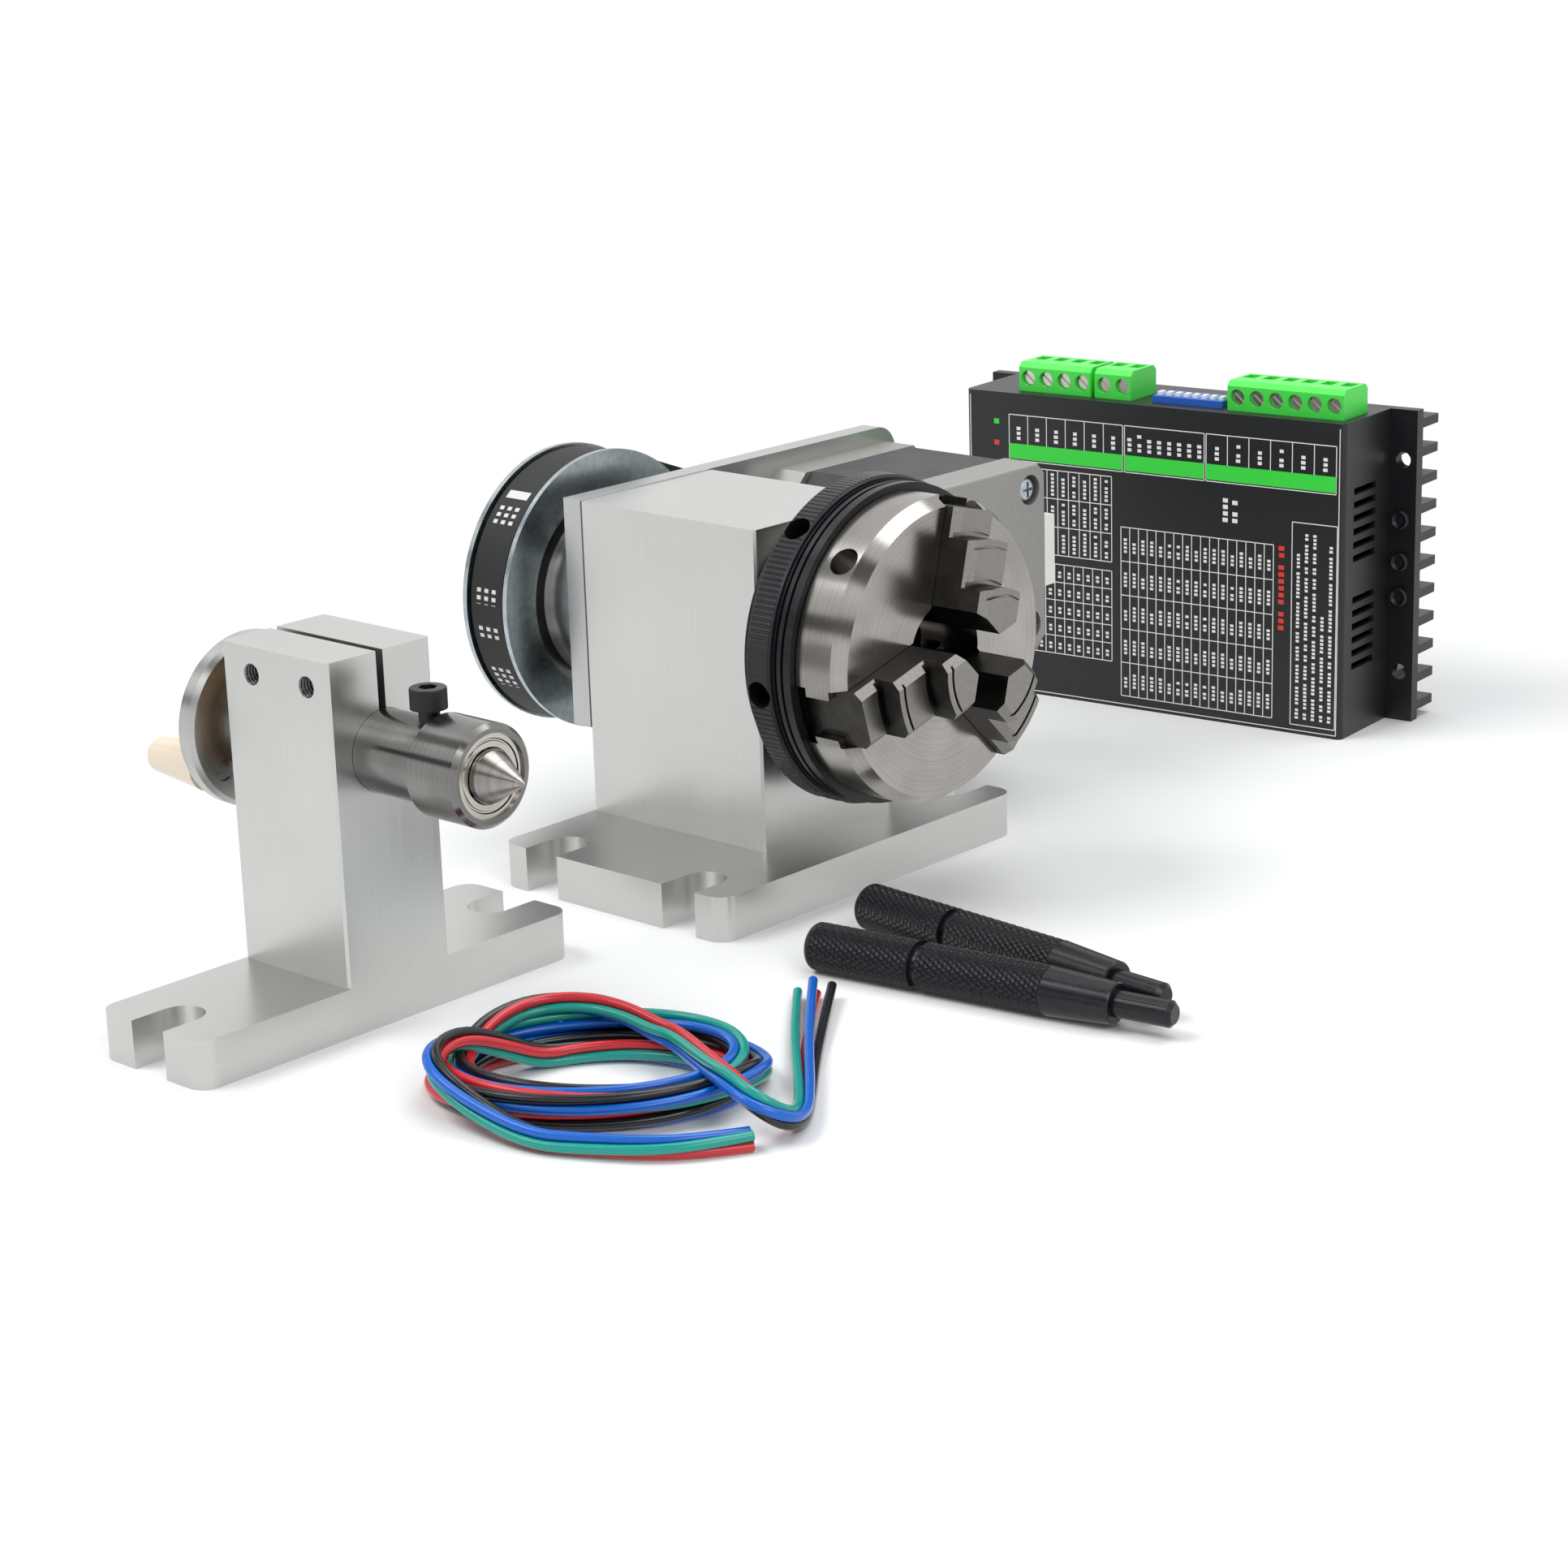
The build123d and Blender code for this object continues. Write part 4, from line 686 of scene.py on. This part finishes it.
# %% Driver case
coat, skin, place = blank("black_powder_coat", "#1A1B1D", Roughness=0.40, Specular_IOR_Level=0.45)
peel = node(coat, "ShaderNodeTexNoise", {"Vector": place, "Scale": per_mm(0.6), "Detail": 2.0})
node(coat, "ShaderNodeMapRange", {0: peel.outputs[0], 3: 0.34, 4: 0.48},
     to=skin.inputs["Roughness"])
node(coat, "ShaderNodeBump", {"Height": peel.outputs[0], "Strength": 0.25, "Distance": 0.05 * MM},
     to=skin.inputs["Normal"])
finish(coat, "driver_cover")

anodised, skin, place = blank("black_anodised_aluminium", "#17181B", Metallic=0.3,
                              Specular_IOR_Level=0.5)
stretch = node(anodised, "ShaderNodeMapping",
               {"Vector": place, "Scale": (per_mm(20), per_mm(20), per_mm(0.4))})
lines = node(anodised, "ShaderNodeTexNoise",
             {"Vector": stretch.outputs[0], "Scale": 1.0, "Detail": 3.0})
node(anodised, "ShaderNodeMapRange", {0: lines.outputs[0], 3: 0.30, 4: 0.50},
     to=skin.inputs["Roughness"])
node(anodised, "ShaderNodeBump",
     {"Height": lines.outputs[0], "Strength": 0.3, "Distance": 0.04 * MM},
     to=skin.inputs["Normal"])
finish(anodised, "driver_heatsink")

# %% [markdown]
# The small parts of the set are moulded: bright green terminal blocks, a blue
# switch with white levers, a white motor socket, and a warm ivory crank handle.
# Moulded plastic has a soft shine that varies slowly, and a faint grain. All
# of them come out of polished moulds alike, so one function makes the finish
# and only the colour and the shine change.

# %% Moulded plastics
def moulded(name, hex_colour, names, low=0.28, high=0.42):
    """A moulded plastic with a soft uneven shine."""
    plastic, skin, place = blank(name, hex_colour)
    flow = node(plastic, "ShaderNodeTexNoise",
                {"Vector": place, "Scale": per_mm(2.5), "Detail": 3.0})
    node(plastic, "ShaderNodeMapRange", {0: flow.outputs[0], 3: low, 4: high},
         to=skin.inputs["Roughness"])
    fine = node(plastic, "ShaderNodeTexNoise",
                {"Vector": place, "Scale": per_mm(0.3), "Detail": 1.0})
    node(plastic, "ShaderNodeBump",
         {"Height": fine.outputs[0], "Strength": 0.15, "Distance": 0.03 * MM},
         to=skin.inputs["Normal"])
    finish(plastic, *names)


moulded("green_polyamide", "#46E04C", ["signal_terminals", "power_terminals"])
moulded("blue_switch_plastic", "#2563C4", ["dip_switch"])
moulded("white_lever_plastic", "#F3F3F0", ["dip_levers"])
moulded("white_nylon", "#ECEAE3", ["motor_connector"], 0.36, 0.5)
moulded("ivory_acetal", "#EADCC6", ["crank_handle"], 0.22, 0.34)

# %% [markdown]
# The circuit board inside is green glass epoxy with copper tracks under the
# lacquer, seen only through the vents. Real tracks would never be made out
# there, so bricks of two greens stand for them.

# %% Circuit board
BOARD_GREEN = "#1F6B3A"
board, skin, place = blank("glass_epoxy_board", BOARD_GREEN, Roughness=0.35)
node(board, "ShaderNodeTexBrick",
     {"Vector": place, "Scale": per_mm(3.0), "Color1": linear(BOARD_GREEN),
      "Color2": linear("#2A8049"), "Mortar": linear("#174F2B")}, to=skin.inputs["Base Color"])
finish(board, "driver_board")

# %% [markdown]
# The two tommy bars turn the chuck. Their grips have a diamond knurl, rolled in
# by two crossing helices. A bump would stay flat at the edge of the bar, so the
# knurl is real: a lathe surface is laid out by numbers, ring after ring, and
# each point goes in where a helix passes. No operator cuts such a pattern.

# %% Profile of a tommy bar
BAR_LENGTH = 79.0
BAR_R = 4.8
NOSE_R = 1.6
NECK_FROM, NECK_TO, NECK_R = 24.0, 25.6, 3.9
GRIP_END = 53.0
TAPER = ((GRIP_END, 4.78), (60.0, 4.4), (66.7, 4.02), (67.0, 3.8))
PIN_R = 2.6
PIN_CHAMFER = 0.8
EDGE = 0.02
KNURL_STARTS = 26
KNURL_LEAD = 2.0
KNURL_DEPTH = 0.32
# How steeply a groove's wall rises, and points across one diamond
GROOVE_RISE = 1.5
FINENESS = 6
AROUND = KNURL_STARTS * FINENESS
KNURL_STEP = KNURL_LEAD / FINENESS


def bar_profile():
    """Rings of a bar as place along it, radius, and whether the ring is knurled."""
    rings = []
    for k in range(6):
        turn = k * pi / 12
        rings.append((NOSE_R * (1 - cos(turn)), BAR_R - NOSE_R + NOSE_R * sin(turn), False))
    for start, end in ((NOSE_R, NECK_FROM), (NECK_TO, GRIP_END)):
        count = int((end - start) / KNURL_STEP)
        rings += [(start + KNURL_STEP * k, BAR_R, True) for k in range(count)]
        rings.append((end - EDGE, BAR_R, False))
        if end == NECK_FROM:
            rings += [(NECK_FROM + EDGE, NECK_R, False), (NECK_TO - EDGE, NECK_R, False)]
    rings += [(along, radius, False) for along, radius in TAPER]
    rings += [(TAPER[-1][0] + EDGE, PIN_R, False), (BAR_LENGTH - PIN_CHAMFER, PIN_R, False),
              (BAR_LENGTH, PIN_R - PIN_CHAMFER, False)]
    return rings


def knurled_radius(along, radius, step):
    """The radius where two crossing families of helical grooves have cut in."""
    turn = step / FINENESS
    cuts = []
    for way in (1, -1):
        t = turn + way * along / KNURL_LEAD
        cuts.append(abs(2 * (t - round(t))))
    return radius - KNURL_DEPTH * (1 - min(1.0, GROOVE_RISE * min(cuts)))


rings = bar_profile()
print("rings of a bar", len(rings))

# %% [markdown]
# Both bars are the same shape, laid down at two places. The rings become quads
# with a fan of triangles at each end, the normals are made to point outwards,
# and the place goes into the mesh. Their oxide is oilier than the screws', so
# it shines more and the points of the knurl sparkle.

# %% Knurled tommy bars
BAR_PLACES = [(55.4, -46.9, 8.2), (48.1, -22.4, -4.9)]
bar_oxide = black_oxide("oiled_bar_oxide", 0.20, 0.34)[0]
for number, (bar_x, bar_y, bar_turn) in enumerate(BAR_PLACES):
    points, faces = [(0.0, 0.0, 0.0)], []
    for along, radius, cut in rings:
        for step in range(AROUND):
            r = knurled_radius(along, radius, step) if cut else radius
            angle = tau * step / AROUND
            points.append((along * MM, r * MM * cos(angle), r * MM * sin(angle)))
    points.append((BAR_LENGTH * MM, 0.0, 0.0))
    last = 1 + (len(rings) - 1) * AROUND
    for k in range(AROUND):
        after = (k + 1) % AROUND
        faces.append((0, 1 + after, 1 + k))
        faces.append((len(points) - 1, last + k, last + after))
        for ring in range(len(rings) - 1):
            a = 1 + ring * AROUND
            faces.append((a + k, a + after, a + AROUND + after, a + AROUND + k))
    mesh = bpy.data.meshes.new(f"knurled_bar_{number + 1}")
    mesh.from_pydata(points, [], faces)
    bar = bpy.data.objects.new(f"knurled_bar_{number + 1}", mesh)
    bpy.context.collection.objects.link(bar)
    bpy.ops.object.select_all(action="DESELECT")
    bpy.context.view_layer.objects.active = bar
    bar.select_set(True)
    bpy.ops.object.mode_set(mode="EDIT")
    bpy.ops.mesh.select_all(action="SELECT")
    bpy.ops.mesh.normals_make_consistent(inside=False)
    bpy.ops.object.mode_set(mode="OBJECT")
    bar.location = (bar_x * MM, bar_y * MM, BAR_R * MM)
    bar.rotation_euler = (0, 0, radians(bar_turn))
    bpy.ops.object.transform_apply(location=True, rotation=True, scale=True)
    bar.data.materials.append(bar_oxide)
    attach(bar, "frame")
    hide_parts(f"tommy_bar_{number + 1}")
    print(bar.name, "faces", len(mesh.polygons))

# %% [markdown]
# A shielded bearing closes its balls in behind a thin pressed steel ring. Here
# it starts as a bare circle, which is extruded and scaled outwards into a dish
# with a rolled lip, and then gets its wall from a Solidify modifier. A spin of
# its profile would do as well, but rings scaled about one centre stay round.

# %% Bearing shield in the quill
SHIELD_PLACE = (40.15 * MM, TAIL_Y * MM, AXIS_Z * MM)
SHIELD_HOLE_R = 5.25
# The radius that each step of the dish reaches, and how far it goes forward
SHIELD_STEPS = ((5.45, 0.18), (6.35, 0.0), (6.5, -0.18), (6.8, 0.0))
SHIELD_WALL = 0.2
bpy.ops.object.select_all(action="DESELECT")
bpy.ops.mesh.primitive_circle_add(vertices=96, radius=SHIELD_HOLE_R * MM, location=SHIELD_PLACE,
                                  rotation=(0, pi / 2, 0))
shield = bpy.context.object
shield.name = "bearing_shield"
shield.data.name = "bearing_shield"
bpy.ops.object.transform_apply(location=True, rotation=True, scale=True)
bpy.ops.object.mode_set(mode="EDIT")
bpy.ops.mesh.select_all(action="SELECT")
reached = SHIELD_HOLE_R
for radius, forward in SHIELD_STEPS:
    bpy.ops.mesh.extrude_edges_move()
    bpy.ops.transform.resize(value=(1, radius / reached, radius / reached),
                             center_override=SHIELD_PLACE)
    bpy.ops.transform.translate(value=(forward * MM, 0, 0))
    reached = radius
bpy.ops.object.mode_set(mode="OBJECT")
wall = shield.modifiers.new("wall", "SOLIDIFY")
wall.thickness = SHIELD_WALL * MM
wall.offset = 0
bpy.ops.object.modifier_apply(modifier="wall")
bpy.ops.object.mode_set(mode="EDIT")
bpy.ops.mesh.select_all(action="SELECT")
bpy.ops.mesh.normals_make_consistent(inside=False)
bpy.ops.object.mode_set(mode="OBJECT")
bpy.ops.object.shade_smooth_by_angle(angle=radians(35))
bearing_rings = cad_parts["center_bearing_outer_rings"]
shield.data.materials.append(bearing_rings.material_slots[0].material)
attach(shield, "quill_unit")
print("shield", [round(d * 1000, 2) for d in shield.dimensions])

# %% [markdown]
# Each clamp screw's hole is threaded, and the turns of the thread catch the
# light inside it. A turn is a thin torus at the wall of the hole. One is made
# and copied at the thread's pitch of 0.7 mm, and the copies are joined. Their
# metal is darker and more uneven than the ground block: painted shade of the
# hole, together with the dullness of cutting oil.

# %% Threads in the clamp holes
HOLE_XS = (-9.6, 6.0)
HOLE_Z = 66.8
HOLE_R = 2.1
FIRST_TURN_Y = -127.75
THREAD_PITCH = 0.7
THREAD_TURNS = 9
RIDGE_R = 0.24
bpy.ops.object.select_all(action="DESELECT")
bpy.ops.mesh.primitive_torus_add(major_segments=40, minor_segments=6, major_radius=HOLE_R * MM,
                                 minor_radius=RIDGE_R * MM, rotation=(pi / 2, 0, 0))
ridge = bpy.context.object
turns = []
for hole_x in HOLE_XS:
    for k in range(THREAD_TURNS):
        turn = ridge.copy()
        turn.data = ridge.data.copy()
        turn.location = (hole_x * MM, (FIRST_TURN_Y + THREAD_PITCH * k) * MM, HOLE_Z * MM)
        bpy.context.collection.objects.link(turn)
        turns.append(turn)
bpy.data.objects.remove(ridge)
bpy.ops.object.select_all(action="DESELECT")
for turn in turns:
    turn.select_set(True)
bpy.context.view_layer.objects.active = turns[0]
bpy.ops.object.join()
threads = bpy.context.object
threads.name = "clamp_hole_threads"
threads.data.name = "clamp_hole_threads"
bpy.ops.object.transform_apply(location=True, rotation=True, scale=True)
bpy.ops.object.shade_smooth_by_angle(angle=radians(70))
# The thread's darker colour is painted shade inside the hole, together with uneven cutting oil.
tapped, skin, place = blank("tapped_aluminium_painted_shade", "#8B8C8A", Metallic=1.0, Roughness=0.3)
oil_and_painted_shade = node(tapped, "ShaderNodeTexNoise", {"Vector": place, "Scale": per_mm(0.5), "Detail": 3.0})
node(tapped, "ShaderNodeMix", {0: oil_and_painted_shade.outputs[0], 6: linear("#3E3E3D"), 7: linear("#A3A4A2")},
     to=skin.inputs["Base Color"], out=2, data_type="RGBA")
threads.data.materials.append(tapped)
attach(threads, "frame")
print("thread turns", len(turns))

# %% [markdown]
# Three screws hold the driver's board to the heat sink through its lip. Each
# head is a short cylinder whose top edge is bevelled and whose socket is inset
# and pushed in. It is modelled once and copied, each copy with its own mesh,
# and its place is given along, into and up the driver, which stands at a turn.

# %% Screws on the driver's lip
DRIVER_PLACE = Vector((-61.7, 135.4, 0.0))
DRIVER_TURN = radians(6.1)
HEAD_R, HEAD_TALL, HEAD_BEVEL = 2.3, 1.8, 0.5
SOCKET_RIM, SOCKET_DEPTH = 0.6, 0.7
LIP_ALONG, LIP_IN = 114.4, 22.3
LIP_HEIGHTS = (30.5, 39.0, 49.2)


def on_driver(a, b, z):
    """A point given along, into and up the driver, in metres."""
    x = DRIVER_PLACE.x + a * cos(DRIVER_TURN) - b * sin(DRIVER_TURN)
    y = DRIVER_PLACE.y + a * sin(DRIVER_TURN) + b * cos(DRIVER_TURN)
    return Vector((x * MM, y * MM, z * MM))


def highest(faces):
    """The face of a mesh in edit mode whose middle is highest."""
    return max(faces, key=lambda face: face.calc_center_median().z)


bpy.ops.object.select_all(action="DESELECT")
bpy.ops.mesh.primitive_cylinder_add(vertices=48, radius=HEAD_R * MM, depth=HEAD_TALL * MM)
head = bpy.context.object
bpy.ops.object.mode_set(mode="EDIT")
bpy.ops.mesh.select_all(action="DESELECT")
shape = bmesh.from_edit_mesh(head.data)
top = highest(shape.faces)
top.select = True
for edge in top.edges:
    edge.select = True
bmesh.update_edit_mesh(head.data)
bpy.ops.mesh.bevel(offset=HEAD_BEVEL * MM, segments=4)
bpy.ops.mesh.select_all(action="DESELECT")
shape = bmesh.from_edit_mesh(head.data)
highest([face for face in shape.faces if len(face.verts) > 20]).select = True
bmesh.update_edit_mesh(head.data)
bpy.ops.mesh.inset(thickness=SOCKET_RIM * MM)
bpy.ops.transform.translate(value=(0, 0, -SOCKET_DEPTH * MM))
bpy.ops.object.mode_set(mode="OBJECT")
bpy.ops.object.shade_smooth_by_angle(angle=radians(35))
for k, height in enumerate(LIP_HEIGHTS):
    one = head.copy()
    one.data = head.data.copy()
    one.name = f"lip_screw_{k + 1}"
    bpy.context.collection.objects.link(one)
    bpy.ops.object.select_all(action="DESELECT")
    one.select_set(True)
    bpy.context.view_layer.objects.active = one
    one.location = on_driver(LIP_ALONG, LIP_IN, height)
    one.rotation_euler = (pi / 2, 0, DRIVER_TURN)
    bpy.ops.object.transform_apply(location=True, rotation=True, scale=True)
    one.data.materials.append(oxide)
    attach(one, "frame")
    print(one.name, "faces", len(one.data.polygons))
bpy.data.objects.remove(head)

# %% [markdown]
# The driver's front is printed with ruled tables and lines of small ticks, in
# white, green and red. The print is screen ink, hardly thicker than a hair. A
# picture could show it, but flat patches stay sharp at any distance. Hundreds
# are needed, so a few functions lay them out as boxes, in fractions of the
# cover's width and height, and the boxes of one colour become one mesh.

# %% Patches, rules and ticks of the label
LABEL_FROM, LABEL_WIDTH, LABEL_HEIGHT = 7.0, 104.0, 75.5
RULE = 0.22
TICK_LONG, TICK_GAP, TICK_HALF = 0.0085, 0.0045, 0.0045
# Least and most ticks in a run, and the gap added after it, in gaps between ticks
RUN_FROM, RUN_TO, RUN_GAP = 2, 7, 2.2
# How far a tick may shrink on one side
THINNEST = 0.75
label_shake = random.Random(5)
ink = {"white": [], "green": [], "red": []}


def patch(colour, f0, f1, g0, g1):
    """A printed box between fractions of the cover's width and height."""
    ink[colour].append((LABEL_FROM + f0 * LABEL_WIDTH, LABEL_FROM + f1 * LABEL_WIDTH,
                        g0 * LABEL_HEIGHT, g1 * LABEL_HEIGHT))


def upright_rule(f, g0, g1):
    """A thin line up the label."""
    half = RULE / 2 / LABEL_WIDTH
    patch("white", f - half, f + half, g0, g1)


def level_rule(f0, f1, g):
    """A thin line across the label."""
    half = RULE / 2 / LABEL_HEIGHT
    patch("white", f0, f1, g - half, g + half)


def ticks(f, g0, g1, size, colour="white"):
    """A line of ticks up the label, in runs of two to seven with wider gaps between the runs."""
    here = g0
    long, gap, half = TICK_LONG * size, TICK_GAP * size, TICK_HALF * size
    run = label_shake.randint(RUN_FROM, RUN_TO)
    while here + long < g1:
        if run:
            patch(colour, f - half * label_shake.uniform(THINNEST, 1.0), f + half,
                  here, here + long)
            run -= 1
            here += long + gap
        else:
            run = label_shake.randint(RUN_FROM, RUN_TO)
            here += RUN_GAP * gap


def table(f0, f1, g0, g1, columns, rows, fill):
    """A ruled table whose cells hold a few ticks each."""
    for k in range(columns + 1):
        upright_rule(f0 + (f1 - f0) * k / columns, g0, g1)
    for k in range(rows + 1):
        level_rule(f0, f1, g0 + (g1 - g0) * k / rows)
    for c in range(columns):
        for r in range(rows):
            middle_f = f0 + (f1 - f0) * (c + 0.5) / columns
            low = g0 + (g1 - g0) * (r + 0.5 * (1 - fill)) / rows
            ticks(middle_f, low, low + (g1 - g0) * fill / rows, 1.0)


print("label", LABEL_WIDTH, "by", LABEL_HEIGHT, "mm")

# %% [markdown]
# The label is read like a page. A header of three blocks runs along its top
# over a green band, with a small box beside it. Below are three tables, a line
# in red, and a frame with five lines at the right. The header has one cell for
# each pole of the terminals and each lever of the switch above it.

# %% Layout of the label
# From and to across the label, number of cells, and whether rules part the cells
HEADER = ((0.12, 0.43, 6, True), (0.435, 0.645, 8, False), (0.65, 0.98, 6, True))
HEADER_LOW, HEADER_HIGH = 0.78, 0.93
BAND_LOW, BAND_HIGH = 0.785, 0.835
# Low, high and size of the ticks in a cell of the header
HEADER_TICKS = (0.848, 0.905, 1.25)
BOX_FROM, BOX_TO = 0.03, 0.095
BOX_RULES = (0.60, 0.65, 0.70, 0.75)
# The ticks between two rules of the box: across the label, and from and to above the rule
BOX_TICKS_AT, BOX_TICKS_LOW, BOX_TICKS_HIGH = 0.062, 0.007, 0.045
LIGHT_FROM, LIGHT_TO = 0.078, 0.092
LIGHTS = (("green", 0.895, 0.912), ("red", 0.825, 0.842))
# From and to across the label, low and high
SIDE_PATCH = (0.135, 0.155, 0.22, 0.44)
# From, to, low, high, columns, rows and how much of a cell its ticks fill
TABLES = ((0.165, 0.40, 0.15, 0.45, 9, 5, 0.5), (0.165, 0.40, 0.48, 0.76, 8, 3, 0.8),
          (0.425, 0.825, 0.04, 0.60, 17, 5, 0.5))
NOTE_FROM, NOTE_TO, NOTE_LOW, NOTE_HIGH = 0.872, 0.985, 0.03, 0.68
NOTE_REACH = (0.60, 0.66, 0.66, 0.40, 0.62)
# The frame's first line, the step to the next, where they start and the size of their ticks
NOTE_LINE, NOTE_PITCH, NOTE_FOOT, NOTE_SIZE = 0.888, 0.0205, 0.05, 0.95
# Place across the label, low, high and size of the red line and of the two short ones
RED_LINE = (0.845, 0.33, 0.62, 1.7)
SHORT_LINES = ((0.70, 0.655, 0.745, 1.6), (0.725, 0.655, 0.745, 1.6))
MARGIN, EDGE_TOP = 0.012, 0.985

for f0, f1, cells, parted in HEADER:
    patch("green", f0, f1, BAND_LOW, BAND_HIGH)
    level_rule(f0, f1, HEADER_LOW)
    level_rule(f0, f1, HEADER_HIGH)
    for k in range(cells + 1):
        at_end = k in (0, cells)
        if at_end or parted:
            upright_rule(f0 + (f1 - f0) * k / cells, HEADER_LOW if at_end else BAND_HIGH,
                         HEADER_HIGH)
        if k < cells:
            ticks(f0 + (f1 - f0) * (k + 0.5) / cells, *HEADER_TICKS)
for edge in BOX_RULES:
    level_rule(BOX_FROM, BOX_TO, edge)
for low in BOX_RULES[:3]:
    ticks(BOX_TICKS_AT, low + BOX_TICKS_LOW, low + BOX_TICKS_HIGH, 1.0)
for edge in (BOX_FROM, BOX_TO):
    upright_rule(edge, BOX_RULES[0], BOX_RULES[-1])
for colour, low, high in LIGHTS:
    patch(colour, LIGHT_FROM, LIGHT_TO, low, high)
patch("green", *SIDE_PATCH)
for entry in TABLES:
    table(*entry)
ticks(*RED_LINE, "red")
for edge in (NOTE_FROM, NOTE_TO):
    upright_rule(edge, NOTE_LOW, NOTE_HIGH)
for edge in (NOTE_LOW, NOTE_HIGH):
    level_rule(NOTE_FROM, NOTE_TO, edge)
for k, reach in enumerate(NOTE_REACH):
    ticks(NOTE_LINE + NOTE_PITCH * k, NOTE_FOOT, reach, NOTE_SIZE)
for line in SHORT_LINES:
    ticks(*line)
for edge in (MARGIN, 1 - MARGIN):
    upright_rule(edge, MARGIN, EDGE_TOP)
level_rule(MARGIN, 1 - MARGIN, MARGIN)
print({colour: len(boxes) for colour, boxes in ink.items()})

# %% [markdown]
# Each colour's boxes are one sheet of flat quads that face forwards, 0.05 mm in
# front of the paint. Screen ink is matt and a little uneven, so its roughness
# follows a slow noise.

# %% Print on the driver
INKS = {"white": "#E9E9E6", "green": "#35D63F", "red": "#D9382B"}
INK_LIFT = 0.05
for colour, boxes in ink.items():
    points, faces = [], []
    for a0, a1, z0, z1 in boxes:
        start = len(points)
        points += [on_driver(a, -INK_LIFT, z) for a, z in ((a0, z0), (a1, z0), (a1, z1), (a0, z1))]
        faces.append((start, start + 1, start + 2, start + 3))
    mesh = bpy.data.meshes.new(f"label_print_{colour}")
    mesh.from_pydata(points, [], faces)
    print_sheet = bpy.data.objects.new(f"label_print_{colour}", mesh)
    bpy.context.collection.objects.link(print_sheet)
    film, skin, place = blank(f"screen_ink_{colour}", INKS[colour], Roughness=0.5)
    patchy = node(film, "ShaderNodeTexNoise",
                  {"Vector": place, "Scale": per_mm(3.0), "Detail": 3.0})
    node(film, "ShaderNodeMapRange", {0: patchy.outputs[0], 3: 0.42, 4: 0.58},
         to=skin.inputs["Roughness"])
    mesh.materials.append(film)
    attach(print_sheet, "frame")
    print(colour, "patches", len(faces))

# %% [markdown]
# The size of the dressed set is measured as the box round everything it draws,
# leaving out the floor and the cards.

# %% Sizes and finish
low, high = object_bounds()
